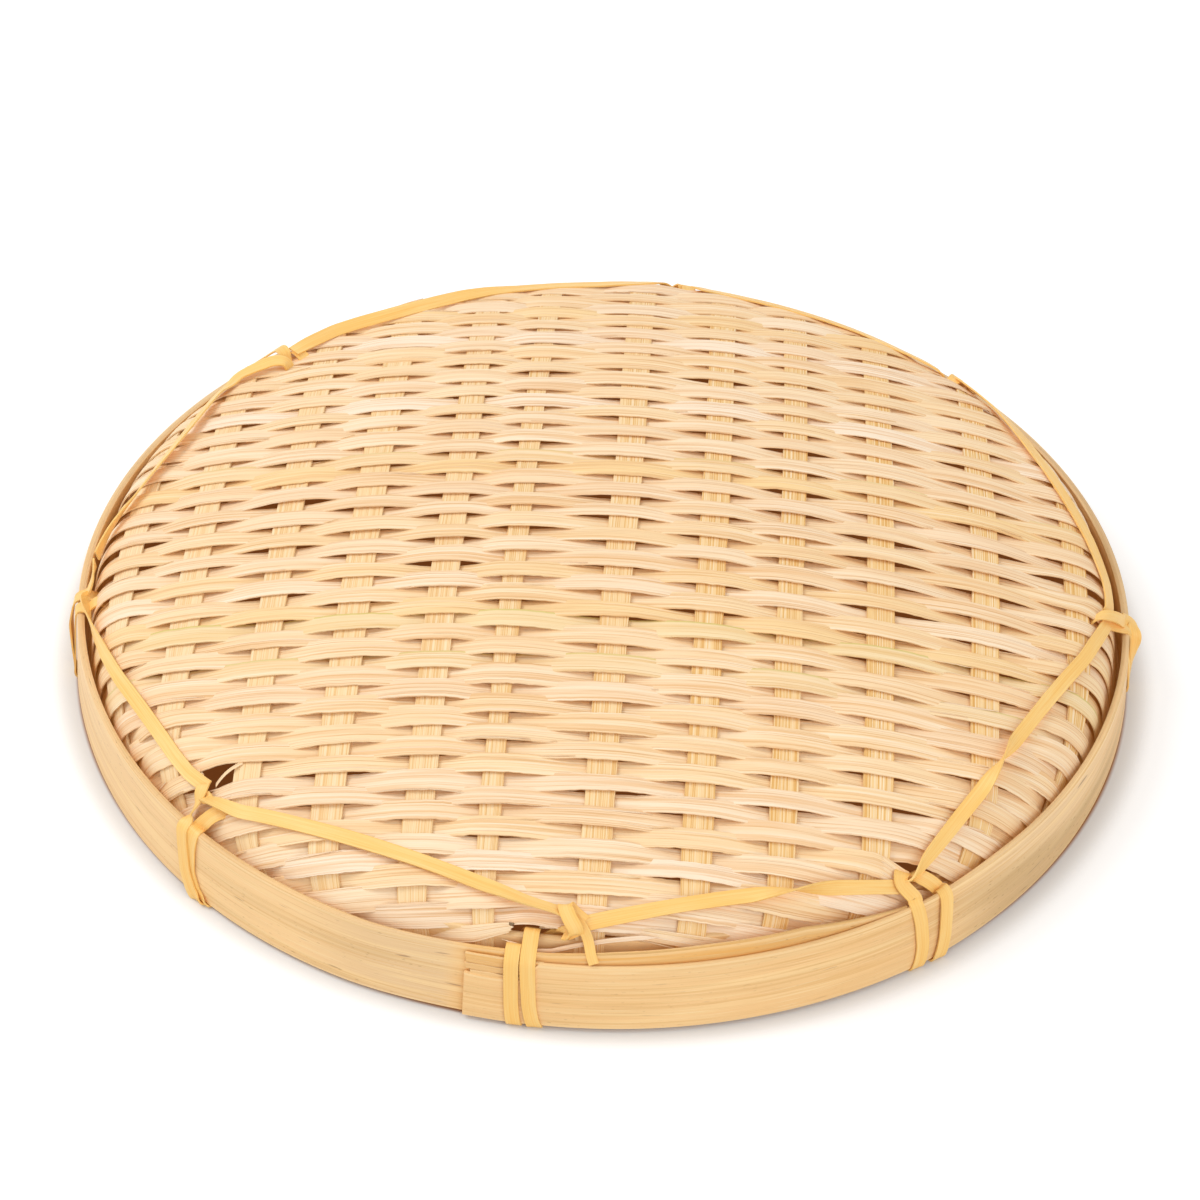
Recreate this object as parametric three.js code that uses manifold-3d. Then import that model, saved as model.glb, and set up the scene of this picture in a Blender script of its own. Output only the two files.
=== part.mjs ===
// Round bamboo tray, lying mouth down on the eight ties of its rim, in millimetres, +Z up.
// A plain-woven mat of 12 stakes and 63 wefts is domed, bent down at its edge and clamped
// between an outer and an inner hoop. A flat strand ties hoops and mat together at eight
// places and runs straight over the mat from each tie to the next.
// The origin is the hoops' centre, on the plane that the ties rest on.

import * as THREE from 'three';
import { mergeVertices } from 'three/addons/utils/BufferGeometryUtils.js';
import Module from 'manifold-3d';

// Hoops: the outer one is a strip bent round once, with a scarfed lap at the front
const HOOP_FOOT_RADIUS = 150;
const HOOP_LEAN = 8.3;
const HOOP_THICKNESS = 2;
const OUTER_HOOP_WIDTH = 19.5;
const INNER_HOOP_WIDTH = 15.2;
const HOOP_SEGMENTS = 72;
const LAP_END_ANGLE = 258;
const LAP_SPAN = 45;
const LAP_BLEND = 14;
const LAP_LAYER_THICKNESS = 1.1;
const LAP_LAYER_GAP = 0.35;
// The under layer stands above the outer one: its top rises and then tapers off to the strip's
// hidden end, over these degrees past the lap's visible end
const LAP_RISE = 4.4;
const LAP_RISES_OVER = [-10, 12];
const LAP_TAPERS_OVER = [34, 45];
const INNER_HOOP_JOINT_ANGLE = 112;
const INNER_HOOP_JOINT_GAP = 1.5;

// Dome of the mat: a spherical cap, a round shoulder and a leaning wall between the hoops.
// The crown's height and the cap's radius are given in foot radii of the hoop
const CROWN_HEIGHT_SHARE = 0.334;
const CAP_RADIUS_SHARE = 3;
const SHOULDER_RADIUS = 18;
const MAT_EDGE_INSET = 2.2;
const MAT_TO_HOOP_GAP = 0.45;

// Weave: stakes run front to back, wefts run across, over one and under one.
// Places, widths and pitch are given in foot radii of the hoop
const WEAVE_TURN = -2.1;
const STAKES = [
  { at: -0.8933, width: 0.0493 },
  { at: -0.7553, width: 0.052 },
  { at: -0.5933, width: 0.0507 },
  { at: -0.4407, width: 0.0573 },
  { at: -0.2807, width: 0.052 },
  { at: -0.1587, width: 0.0387 },
  { at: 0.03, width: 0.0533 },
  { at: 0.1993, width: 0.052 },
  { at: 0.3447, width: 0.0467 },
  { at: 0.5087, width: 0.052 },
  { at: 0.704, width: 0.0533 },
  { at: 0.888, width: 0.048 },
];
const STAKE_THICKNESS = 0.6;
const WEFT_COUNT = 63;
const WEFT_PITCH_SHARE = 0.0325;
const WEFT_SHIFT_SHARE = 0.00867;
const WEFT_TO_WEFT_GAP = 0.42;
const WEFT_THICKNESS = 0.4;
const WEFT_LIFT = 1.4;
const WEFT_END_CLEARANCE_SHARE = 0.07;
const WEFT_CUT_SHORT = 1.2;

// Lashing strand
const STRAND_WIDTH = 3.9;
const STRAND_THICKNESS = 0.6;
const STRAND_CLEARANCE = 0.35;
const TURN_PITCH = 5.2;
// The eight ties: the angle of the first hole in the weave, and the distance between the tie's
// two turns in turn pitches
const TIES = [
  { at: 266, spread: 1 },
  { at: 308.8, spread: 1.5 },
  { at: 357.3, spread: 1 },
  { at: 45.8, spread: 1 },
  { at: 82.7, spread: 1 },
  { at: 136.7, spread: 1 },
  { at: 188, spread: 1 },
  { at: 226.1, spread: 0.9 },
];
const HOLE_FROM_CAP = 9;
const SLOT_DEPTH = 9;
const SLOT_CLEARANCE = 0.5;
const TURN_SLANT = 0.55;
const RUN_STEP = 11;
const KNOT_AT = 3.5;
const KNOT_TAIL_DROP = 4;
// Out of a hole the strand rises, then lies on the mat: distances in strand widths, lifts in mm
const RISE = [
  { along: 0.22, lift: 1, turned: 0.35 },
  { along: 0.8, lift: 1.3, turned: 0.8 },
  { along: 1.8, lift: 0.7, turned: 1 },
];
const RUN_LIES_FROM = 3;
const RUN_ENDS_BEFORE = 0.8;
// The last run passes the front tie's holes by this many strand widths and ends at the knot
const LAST_RUN_INSET = 1.1;
// Over a hole the strand bends back towards the rim, again in strand widths
const BEND_BACK = [0.22, 0.75];
// Ties at the sides turn round wefts, those at the front and back round stakes
const SIDE_TIE_COSINE = 0.35;

// How closely flat faces follow the dome
const CAP_CHORD_ERROR = 0.25;
const RIM_CHORD_ERROR = 0.19;
const SHOULDER_STEPS = 4;

const wasm = await Module();
wasm.setup();

// Values that follow from the sizes above
const rad = THREE.MathUtils.degToRad;
const lean = rad(HOOP_LEAN);
const strandLift = STRAND_THICKNESS / 2 + STRAND_CLEARANCE;
const strandPitch = STRAND_THICKNESS + STRAND_CLEARANCE;
const footHeight = strandPitch;
const hoopTop = footHeight + OUTER_HOOP_WIDTH;
const innerHoopTop = footHeight + INNER_HOOP_WIDTH;
const crownHeight = CROWN_HEIGHT_SHARE * HOOP_FOOT_RADIUS;
const capRadius = CAP_RADIUS_SHARE * HOOP_FOOT_RADIUS;
const stakes = STAKES.map(({ at, width }) => ({
  at: at * HOOP_FOOT_RADIUS,
  width: width * HOOP_FOOT_RADIUS,
}));
const weftPitch = WEFT_PITCH_SHARE * HOOP_FOOT_RADIUS;
const weftShift = WEFT_SHIFT_SHARE * HOOP_FOOT_RADIUS;
const weftEndClearance = WEFT_END_CLEARANCE_SHARE * HOOP_FOOT_RADIUS;
const weftWidth = weftPitch - WEFT_TO_WEFT_GAP;
const matHalf = WEFT_LIFT + WEFT_THICKNESS / 2;
const matFootRadius = HOOP_FOOT_RADIUS - HOOP_THICKNESS - MAT_TO_HOOP_GAP - matHalf;
const innerHoopFootRadius = matFootRadius - matHalf - MAT_TO_HOOP_GAP;
const strandHeight = matHalf + strandLift;
const cornerCut = (2 - Math.SQRT2) * strandLift;

// Radius at height z of a surface that leans in with the hoops from a radius at z = 0
function leaning(footRadius, z) {
  return footRadius - z * Math.tan(lean);
}

// The dome's profile: centre of the shoulder arc, tangent to the cap and to the wall
const shoulder = (() => {
  const k = Math.tan(lean);
  const a = matFootRadius - SHOULDER_RADIUS / Math.cos(lean);
  const capCentre = crownHeight - capRadius;
  const reach = capRadius - SHOULDER_RADIUS;
  const p = 1 + k * k;
  const q = -(a * k + capCentre);
  const c = a * a + capCentre * capCentre - reach * reach;
  const z = (-q + Math.sqrt(q * q - p * c)) / p;
  const r = a - k * z;
  const start = Math.atan2(r, z - capCentre);
  return { r, z, start, capCentre, end: Math.PI / 2 - lean };
})();
const capLength = capRadius * shoulder.start;
const shoulderLength = SHOULDER_RADIUS * (shoulder.end - shoulder.start);
const wallTop = {
  r: shoulder.r + SHOULDER_RADIUS * Math.sin(shoulder.end),
  z: shoulder.z + SHOULDER_RADIUS * Math.cos(shoulder.end),
};
const matReach = capLength + shoulderLength
  + (wallTop.z - footHeight - MAT_EDGE_INSET) / Math.cos(lean);
const holeReach = capLength + HOLE_FROM_CAP;

// Profile point and outward normal at an arc length from the crown
function profileAt(length) {
  if (length < capLength) {
    const angle = length / capRadius;
    const nr = Math.sin(angle);
    const nz = Math.cos(angle);
    return { r: capRadius * nr, z: shoulder.capCentre + capRadius * nz, nr, nz };
  }
  const past = length - capLength;
  if (past < shoulderLength) {
    const angle = shoulder.start + past / SHOULDER_RADIUS;
    const nr = Math.sin(angle);
    const nz = Math.cos(angle);
    return { r: shoulder.r + SHOULDER_RADIUS * nr, z: shoulder.z + SHOULDER_RADIUS * nz, nr, nz };
  }
  const down = past - shoulderLength;
  return {
    r: wallTop.r + down * Math.sin(lean),
    z: wallTop.z - down * Math.cos(lean),
    nr: Math.cos(lean),
    nz: Math.sin(lean),
  };
}

// Point of the dome from flat weave coordinates: s across, t to the back, lift along the normal
function domePoint(s, t, lift) {
  const at = profileAt(Math.hypot(s, t));
  const angle = Math.atan2(t, s) + rad(WEAVE_TURN);
  const r = at.r + lift * at.nr;
  return new THREE.Vector3(r * Math.cos(angle), r * Math.sin(angle), at.z + lift * at.nz);
}

function domeNormal(s, t) {
  return domePoint(s, t, 1).sub(domePoint(s, t, 0));
}

// Point at an azimuth, radius and height, and the direction in which the azimuth grows
function ringPoint(angle, r, z) {
  return new THREE.Vector3(r * Math.cos(angle), r * Math.sin(angle), z);
}

function alongRim(angle) {
  return new THREE.Vector3(-Math.sin(angle), Math.cos(angle), 0);
}

// Closed solid through rings of four corners, anticlockwise as seen from the end
function loft(rings) {
  const positions = rings.flat().flatMap((corner) => corner.toArray());
  const index = [];
  for (let i = 0; i + 1 < rings.length; i += 1) {
    for (let side = 0; side < 4; side += 1) {
      const a = 4 * i + side;
      const b = 4 * i + (side + 1) % 4;
      index.push(a, b, b + 4, a, b + 4, a + 4);
    }
  }
  const last = 4 * (rings.length - 1);
  index.push(0, 3, 2, 0, 2, 1);
  index.push(last, last + 1, last + 2, last, last + 2, last + 3);
  const geometry = new THREE.BufferGeometry();
  geometry.setAttribute('position', new THREE.Float32BufferAttribute(positions, 3));
  geometry.setIndex(index);
  return geometry;
}

function toSolid(source) {
  const bare = source.clone();
  bare.deleteAttribute('normal');
  bare.deleteAttribute('uv');
  const merged = mergeVertices(bare, 1e-5);
  return new wasm.Manifold(new wasm.Mesh({
    numProp: 3,
    vertProperties: new Float32Array(merged.attributes.position.array),
    triVerts: new Uint32Array(merged.index.array),
  }));
}

function toGeometry(solid) {
  const mesh = solid.getMesh();
  const geometry = new THREE.BufferGeometry();
  geometry.setAttribute('position', new THREE.Float32BufferAttribute(mesh.vertProperties, 3));
  geometry.setIndex(Array.from(mesh.triVerts));
  return geometry;
}

// Stops of a strip at a distance across the weave, with more of them over the shoulder,
// halved until each chord keeps within an error of the dome
function refine(fixedStops, across, pointAt) {
  const [low, high] = [fixedStops[0], fixedStops[fixedStops.length - 1]];
  const stops = [...fixedStops];
  for (let i = 0; i <= SHOULDER_STEPS; i += 1) {
    const reach = capLength + shoulderLength * i / SHOULDER_STEPS;
    if (reach <= across) continue;
    const stop = Math.sqrt(reach ** 2 - across ** 2);
    for (const each of [-stop, stop]) {
      const clear = fixedStops.every((fixed) => Math.abs(fixed - each) > weftPitch / 4);
      if (each > low && each < high && clear) stops.push(each);
    }
  }
  stops.sort((a, b) => a - b);
  const result = [low];
  const add = (from, to) => {
    const middle = (from + to) / 2;
    const chord = pointAt(from).lerp(pointAt(to), 0.5);
    const onCap = Math.hypot(Math.max(Math.abs(from), Math.abs(to)), across) < capLength + 1;
    const error = onCap ? CAP_CHORD_ERROR : RIM_CHORD_ERROR;
    if (chord.distanceTo(pointAt(middle)) > error) {
      add(from, middle);
      add(middle, to);
    } else {
      result.push(to);
    }
  };
  for (let i = 0; i + 1 < stops.length; i += 1) add(stops[i], stops[i + 1]);
  return result;
}

// Stakes: flat strips that follow the dome from edge to edge
function stakeGeometry({ at, width }) {
  const half = width / 2;
  const end = Math.sqrt(matReach ** 2 - (Math.abs(at) + half) ** 2);
  const stops = refine([-end, 0, end], Math.abs(at), (t) => domePoint(at, t, 0));
  const h = STAKE_THICKNESS / 2;
  return loft(stops.map((t) => [
    domePoint(at + half, t, -h),
    domePoint(at - half, t, -h),
    domePoint(at - half, t, h),
    domePoint(at + half, t, h),
  ]));
}

// Wefts: place across the weave, and side of each stake on which a weft passes
function weftPlace(row) {
  return weftShift + (((WEFT_COUNT - 1) / 2) - row) * weftPitch;
}

function weftSide(row, stakeIndex) {
  return (row + stakeIndex) % 2 === 0 ? 1 : -1;
}

// End of the wefts on one side, drawn back where it would land on a stake inside the rim
function weftEnd(rows, side) {
  const far = Math.max(...rows.map((row) => Math.abs(weftPlace(row)))) + weftWidth / 2;
  let end = Math.sqrt(matReach ** 2 - far ** 2);
  const outward = stakes.filter((stake) => stake.at * side > 0);
  outward.sort((a, b) => Math.abs(b.at) - Math.abs(a.at));
  for (const stake of outward) {
    const past = end - Math.abs(stake.at);
    const half = stake.width / 2;
    if (past > -half - WEFT_CUT_SHORT && past < weftEndClearance) {
      end = Math.abs(stake.at) - half - WEFT_CUT_SHORT;
    }
  }
  return end * side;
}

// Rings of one weft from left to right
function weftRings(row, from, to) {
  const t = weftPlace(row);
  const crossings = stakes.map((stake, i) => ({ s: stake.at, lift: WEFT_LIFT * weftSide(row, i) }))
    .filter((crossing) => crossing.s > from && crossing.s < to);
  const knots = [{ s: from, lift: 0 }, ...crossings, { s: to, lift: 0 }];
  const liftAt = (s) => {
    let i = 1;
    while (i < knots.length - 1 && s > knots[i].s) i += 1;
    const share = (s - knots[i - 1].s) / (knots[i].s - knots[i - 1].s);
    return knots[i - 1].lift + share * (knots[i].lift - knots[i - 1].lift);
  };
  const stops = refine(knots.map((knot) => knot.s), Math.abs(t), (s) => domePoint(s, t, liftAt(s)));
  return stops.map((s) => weftRing([s, t - weftWidth / 2], [s, t + weftWidth / 2], liftAt(s)));
}

function weftRing(nearEdge, farEdge, lift) {
  const h = WEFT_THICKNESS / 2;
  return [
    domePoint(...nearEdge, lift - h),
    domePoint(...farEdge, lift - h),
    domePoint(...farEdge, lift + h),
    domePoint(...nearEdge, lift + h),
  ];
}

// Two neighbouring wefts, joined by a turn at one end, inside the rim
function weftPairGeometry(rows) {
  const side = rows[0] % 4 === 0 ? 1 : -1;
  const turn = weftWidth + WEFT_TO_WEFT_GAP / 2;
  const near = weftEnd(rows, -side);
  const joined = weftEnd(rows, side) - side * turn;
  const [from, to] = [Math.min(near, joined), Math.max(near, joined)];
  const [back, front] = rows.map((row) => weftRings(row, from, to));
  if (!front) return loft(back);
  const middle = (weftPlace(rows[0]) + weftPlace(rows[1])) / 2;
  const inside = joined + side * WEFT_TO_WEFT_GAP / 2;
  const outside = joined + side * turn;
  if (side > 0) {
    const bend = weftRing([inside, middle], [outside, middle], 0);
    return loft([...back, bend, ...turnedOver(front)]);
  }
  const bend = weftRing([outside, middle], [inside, middle], 0);
  return loft([...turnedOver(back), turnedOver([bend])[0], ...front]);
}

// The same rings walked the other way
function turnedOver(rings) {
  return rings.map(([a, b, c, d]) => [b, a, d, c]).reverse();
}

// Ties: each has two holes, between two wefts and clear of the stakes
function snapToGap(t) {
  const first = weftPlace(0) + weftPitch / 2;
  return first - Math.round((first - t) / weftPitch) * weftPitch;
}

function makeHole(s, t) {
  const centre = domePoint(s, t, 0);
  const normal = domeNormal(s, t);
  const across = domePoint(s + 1, t, 0).sub(domePoint(s - 1, t, 0)).normalize();
  const angle = Math.atan2(centre.y, centre.x);
  const rim = alongRim(angle);
  const outward = new THREE.Vector3().crossVectors(rim, normal);
  if (across.dot(rim) < -0.3) across.negate();
  return { s, t, centre, normal, across, angle, rim, outward };
}

const ties = TIES.map(({ at, spread }) => {
  const angle = rad(at);
  const s = holeReach * Math.cos(angle);
  const t = snapToGap(holeReach * Math.sin(angle));
  const alongS = -Math.sin(angle) * spread * TURN_PITCH;
  const gaps = Math.sign(Math.cos(angle)) * (Math.abs(Math.cos(angle)) > SIDE_TIE_COSINE ? 1 : 0);
  const first = makeHole(s, t);
  const second = makeHole(s + alongS, t + gaps * weftPitch);
  return { first, second, turn: second.angle - first.angle };
});

// A slot through the mat round the strand, cut from the wefts beside it
function slotSolid(hole) {
  const box = new THREE.BoxGeometry(
    STRAND_WIDTH + 2 * SLOT_CLEARANCE,
    STRAND_THICKNESS + 2 * SLOT_CLEARANCE,
    SLOT_DEPTH,
  );
  const along = new THREE.Vector3().crossVectors(hole.normal, hole.across).normalize();
  const basis = new THREE.Matrix4().makeBasis(hole.across, along, hole.normal);
  box.applyMatrix4(basis.setPosition(hole.centre));
  return toSolid(box);
}

const slots = ties.flatMap((tie) => [tie.first, tie.second])
  .map((hole) => ({ t: hole.t, solid: slotSolid(hole) }));

function cutWeftPair(rows) {
  const geometry = weftPairGeometry(rows);
  const near = slots.filter((slot) => rows.some((row) => Math.abs(weftPlace(row) - slot.t) < weftPitch));
  if (near.length === 0) return geometry;
  const cut = near.reduce((solid, slot) => solid.subtract(slot.solid), toSolid(geometry));
  return toGeometry(cut);
}

// Strand: a flat strip through stations, each a centre and the direction of its width
function strandRings(stations) {
  return stations.map((station, i) => {
    const before = station.at.clone().sub(stations[Math.max(i - 1, 0)].at).normalize();
    const after = stations[Math.min(i + 1, stations.length - 1)].at.clone().sub(station.at).normalize();
    const along = before.clone().add(after).normalize();
    const wide = station.wide.clone().addScaledVector(along, -station.wide.dot(along)).normalize();
    const thick = new THREE.Vector3().crossVectors(along, wide);
    const mitre = i > 0 && i + 1 < stations.length ? 1 / Math.max(along.dot(after), 0.8) : 1;
    wide.multiplyScalar(STRAND_WIDTH / 2);
    thick.multiplyScalar(mitre * STRAND_THICKNESS / 2);
    return [[-1, -1], [1, -1], [1, 1], [-1, 1]]
      .map(([w, n]) => station.at.clone().addScaledVector(wide, w).addScaledVector(thick, n));
  });
}

function blend(a, b, share) {
  return a.clone().lerp(b, share).normalize();
}

// One turn round the rim: over both hoops, under the foot, up inside and out through the hole
function turnStations(startAngle, turn, hole) {
  const outer = (z) => leaning(HOOP_FOOT_RADIUS, z) + strandLift + lapStandsOut(startAngle + turn / 2);
  const inner = (z) => leaning(innerHoopFootRadius - HOOP_THICKNESS, z) - strandLift;
  const under = STRAND_THICKNESS / 2;
  const top = hoopTop + lapStandsUp(startAngle);
  const stops = [
    [0, outer(top) - cornerCut, top + strandLift],
    [0, outer(top), top + strandLift - cornerCut],
    [TURN_SLANT, outer(footHeight), under + cornerCut],
    [TURN_SLANT, outer(footHeight) - cornerCut, under],
    [TURN_SLANT, inner(footHeight) + cornerCut, under],
    [TURN_SLANT, inner(footHeight), under + cornerCut],
    [1, inner(innerHoopTop), innerHoopTop - strandLift],
  ];
  const stations = stops.map(([share, r, z]) => {
    const angle = startAngle + share * turn;
    return { at: ringPoint(angle, r, z), wide: alongRim(angle) };
  });
  const through = (lift) => hole.centre.clone().addScaledVector(hole.normal, lift);
  const below = through(-matHalf - strandLift);
  const halfway = stations[stations.length - 1].at.clone().lerp(below, 0.5);
  stations.push({ at: halfway, wide: blend(hole.rim, hole.across, 0.5) });
  stations.push({ at: below, wide: hole.across });
  stations.push({ at: through(0), wide: hole.across });
  stations.push({ at: through(matHalf + STRAND_CLEARANCE), wide: hole.across });
  return stations;
}

// The lap stands out a little from the single strip, and its under layer stands up above it
function pastLapEnd(angle) {
  return THREE.MathUtils.euclideanModulo(THREE.MathUtils.radToDeg(angle), 360) - LAP_END_ANGLE;
}

function lapStandsOut(angle) {
  const past = pastLapEnd(angle);
  if (past < 0 || past > LAP_SPAN + LAP_BLEND) return 0;
  return 2 * LAP_LAYER_THICKNESS + LAP_LAYER_GAP - HOOP_THICKNESS;
}

function lapStandsUp(angle) {
  return underLayerRise(pastLapEnd(angle));
}

function underLayerRise(past) {
  return LAP_RISE * (THREE.MathUtils.smoothstep(past, ...LAP_RISES_OVER)
    - THREE.MathUtils.smoothstep(past, ...LAP_TAPERS_OVER));
}

// One span of the lashing: two turns round the rim, then a straight run to the next tie
function spanStations(tie, next) {
  const { first, second, turn } = tie;
  const start = first.angle - turn;
  const onMat = (past, lift) => {
    const at = profileAt(holeReach + past);
    return ringPoint(start, at.r + lift * at.nr, at.z + lift * at.nz);
  };
  const stations = [
    { at: onMat(-STRAND_WIDTH / 2, strandHeight), wide: alongRim(start) },
    { at: onMat(STRAND_WIDTH / 2, strandHeight), wide: alongRim(start) },
  ];
  stations.push(...turnStations(start, turn, first));
  const rise = strandHeight + STRAND_WIDTH / 4;
  const over = (share) => first.centre.clone().addScaledVector(first.normal, rise)
    .addScaledVector(first.outward, share * STRAND_WIDTH);
  stations.push({ at: over(BEND_BACK[0]), wide: blend(first.across, first.rim, 0.5) });
  stations.push({ at: over(BEND_BACK[1]), wide: first.rim });
  stations.push(...turnStations(first.angle, turn, second));
  stations.push(...runStations(second, next));
  return stations;
}

// A run ends short of the next tie's first turn, the last run beside the knot of the first tie
function runEnd(next) {
  const reach = Math.hypot(next.first.s, next.first.t);
  if (next === ties[0]) {
    const knotAngle = Math.atan2(next.second.t, next.second.s);
    return flatPoint(reach - LAST_RUN_INSET * STRAND_WIDTH, knotAngle);
  }
  const gap = RUN_ENDS_BEFORE * STRAND_WIDTH + STRAND_CLEARANCE;
  return flatPoint(reach, Math.atan2(next.first.t, next.first.s) - next.turn - gap / holeReach);
}

function flatPoint(reach, angle) {
  return new THREE.Vector2(reach * Math.cos(angle), reach * Math.sin(angle));
}

// The run lies on the mat along a straight line of the flat weave
function runStations(hole, next) {
  const to = runEnd(next);
  const from = new THREE.Vector2(hole.s, hole.t);
  const length = to.distanceTo(from);
  const flatAt = (distance) => from.clone().lerp(to, distance / length);
  const onRun = (distance, lift) => {
    const flat = flatAt(distance);
    return domePoint(flat.x, flat.y, lift);
  };
  const wideAt = (distance) => {
    const flat = flatAt(distance);
    const along = onRun(distance + 1, 0).sub(onRun(distance - 1, 0));
    return new THREE.Vector3().crossVectors(along, domeNormal(flat.x, flat.y)).normalize();
  };
  const flip = hole.across.dot(wideAt(0)) < -0.3 ? -1 : 1;
  const wide = (distance) => wideAt(distance).multiplyScalar(flip);
  const stations = RISE.map(({ along, lift, turned }) => ({
    at: onRun(along * STRAND_WIDTH, strandHeight + lift),
    wide: blend(hole.across, wide(along * STRAND_WIDTH), turned),
  }));
  const lying = RUN_LIES_FROM * STRAND_WIDTH;
  const steps = Math.round((length - lying) / RUN_STEP);
  for (let i = 0; i <= steps; i += 1) {
    const distance = lying + (length - lying) * i / steps;
    stations.push({ at: onRun(distance, strandHeight), wide: wide(distance) });
  }
  return stations;
}

// Knot: the strand's end, arched over the run at the front tie, with its tail over the rim
function knotStations(tie, next) {
  const run = runStations(tie.second, next);
  const from = new THREE.Vector2(tie.second.s, tie.second.t);
  const to = new THREE.Vector2(next.first.s, next.first.t);
  const middle = from.lerp(to, (KNOT_AT - from.x) / (to.x - from.x));
  const high = strandHeight + 2 * strandPitch;
  const low = strandHeight;
  const side = STRAND_WIDTH / 2 + strandPitch;
  const stops = [
    [0, side + 2 * STRAND_THICKNESS, low],
    [0, side, high],
    [0, -side, high],
    [0, -side - 2 * STRAND_THICKNESS, low],
  ];
  const stations = stops.map(([s, t, lift]) => ({
    at: domePoint(middle.x + s, middle.y + t, lift),
    wide: run[3].at.clone().sub(run[2].at).normalize(),
  }));
  const tail = Math.atan2(middle.y, middle.x) + rad(WEAVE_TURN) + TURN_PITCH / 4 / holeReach;
  const top = hoopTop + lapStandsUp(tail);
  const outer = leaning(HOOP_FOOT_RADIUS, top) + lapStandsOut(tail) + strandLift;
  const lapWide = 2 * LAP_LAYER_THICKNESS + LAP_LAYER_GAP + strandLift;
  const drop = [
    [outer - lapWide, top + strandLift],
    [outer - cornerCut, top + strandLift],
    [outer, top + strandLift - cornerCut],
    [outer + KNOT_TAIL_DROP * Math.tan(lean), top - KNOT_TAIL_DROP],
  ];
  stations.push(...drop.map(([r, z]) => ({ at: ringPoint(tail, r, z), wide: alongRim(tail) })));
  return stations;
}

// Least gap of a strand to itself, between edge points that lie further apart along it
function leastSelfGap(rings) {
  const apart = 2 * STRAND_WIDTH;
  const points = [];
  let travelled = 0;
  for (let i = 0; i + 1 < rings.length; i += 1) {
    const centres = [rings[i], rings[i + 1]].map((ring) => ring[0].clone().lerp(ring[2], 0.5));
    const step = centres[0].distanceTo(centres[1]);
    const parts = Math.ceil(step);
    for (let part = 0; part < parts; part += 1) {
      for (let side = 0; side < 4; side += 1) {
        const low = rings[i][side].clone().lerp(rings[i + 1][side], part / parts);
        const nextSide = (side + 1) % 4;
        const high = rings[i][nextSide].clone().lerp(rings[i + 1][nextSide], part / parts);
        for (const share of [0, 0.25, 0.5, 0.75]) {
          points.push({ at: low.clone().lerp(high, share), along: travelled + step * part / parts });
        }
      }
    }
    travelled += step;
  }
  let least = Infinity;
  for (let i = 0; i < points.length; i += 1) {
    for (let j = i + 1; j < points.length; j += 1) {
      if (points[j].along - points[i].along > apart) {
        least = Math.min(least, points[i].at.distanceTo(points[j].at));
      }
    }
  }
  return least;
}

// Hoops: a leaning strip section carried round the rim
function hoopRing(angle, outerFoot, thickness, bottom, top) {
  return [
    ringPoint(angle, leaning(outerFoot - thickness, bottom), bottom),
    ringPoint(angle, leaning(outerFoot - thickness, top), top),
    ringPoint(angle, leaning(outerFoot, top), top),
    ringPoint(angle, leaning(outerFoot, bottom), bottom),
  ];
}

function outerHoopGeometry() {
  const innerFoot = HOOP_FOOT_RADIUS - HOOP_THICKNESS;
  const proud = innerFoot + 2 * LAP_LAYER_THICKNESS + LAP_LAYER_GAP;
  const total = 360 + LAP_SPAN;
  const steps = Math.round(HOOP_SEGMENTS * total / 360);
  const rings = [];
  for (let i = 0; i <= steps; i += 1) {
    const turned = total * i / steps;
    const angle = rad(LAP_END_ANGLE + turned);
    // The visible end comes first, over the last part of the strip
    const onTop = 1 - THREE.MathUtils.smoothstep(turned, LAP_SPAN, LAP_SPAN + LAP_BLEND);
    const below = THREE.MathUtils.smoothstep(turned, 360 - LAP_BLEND, 360);
    const thin = HOOP_THICKNESS - LAP_LAYER_THICKNESS;
    const thickness = HOOP_THICKNESS - thin * Math.max(onTop, below);
    const outer = HOOP_FOOT_RADIUS + (proud - HOOP_FOOT_RADIUS) * onTop - thin * below;
    const top = hoopTop + underLayerRise(turned - 360);
    rings.push(hoopRing(angle, outer, thickness, footHeight, top));
  }
  return loft(rings);
}

function innerHoopGeometry() {
  const gapAngle = INNER_HOOP_JOINT_GAP / innerHoopFootRadius;
  const rings = [];
  for (let i = 0; i <= HOOP_SEGMENTS; i += 1) {
    const angle = rad(INNER_HOOP_JOINT_ANGLE) + gapAngle / 2
      + (2 * Math.PI - gapAngle) * i / HOOP_SEGMENTS;
    rings.push(hoopRing(angle, innerHoopFootRadius, HOOP_THICKNESS, footHeight, innerHoopTop));
  }
  return loft(rings);
}

// The assembly
const bamboo = {
  hoop: { color: 0xdcb878, roughness: 0.55, metalness: 0 },
  stake: { color: 0xe8c98a, roughness: 0.65, metalness: 0 },
  weft: { color: 0xf0d9b4, roughness: 0.65, metalness: 0 },
  strand: { color: 0xefc25f, roughness: 0.5, metalness: 0 },
};
const tray = new THREE.Group();

function addPiece(name, geometry, finish) {
  const mesh = new THREE.Mesh(geometry, new THREE.MeshStandardMaterial(finish));
  mesh.name = name;
  tray.add(mesh);
}

const twoDigits = (number) => String(number).padStart(2, '0');

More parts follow.
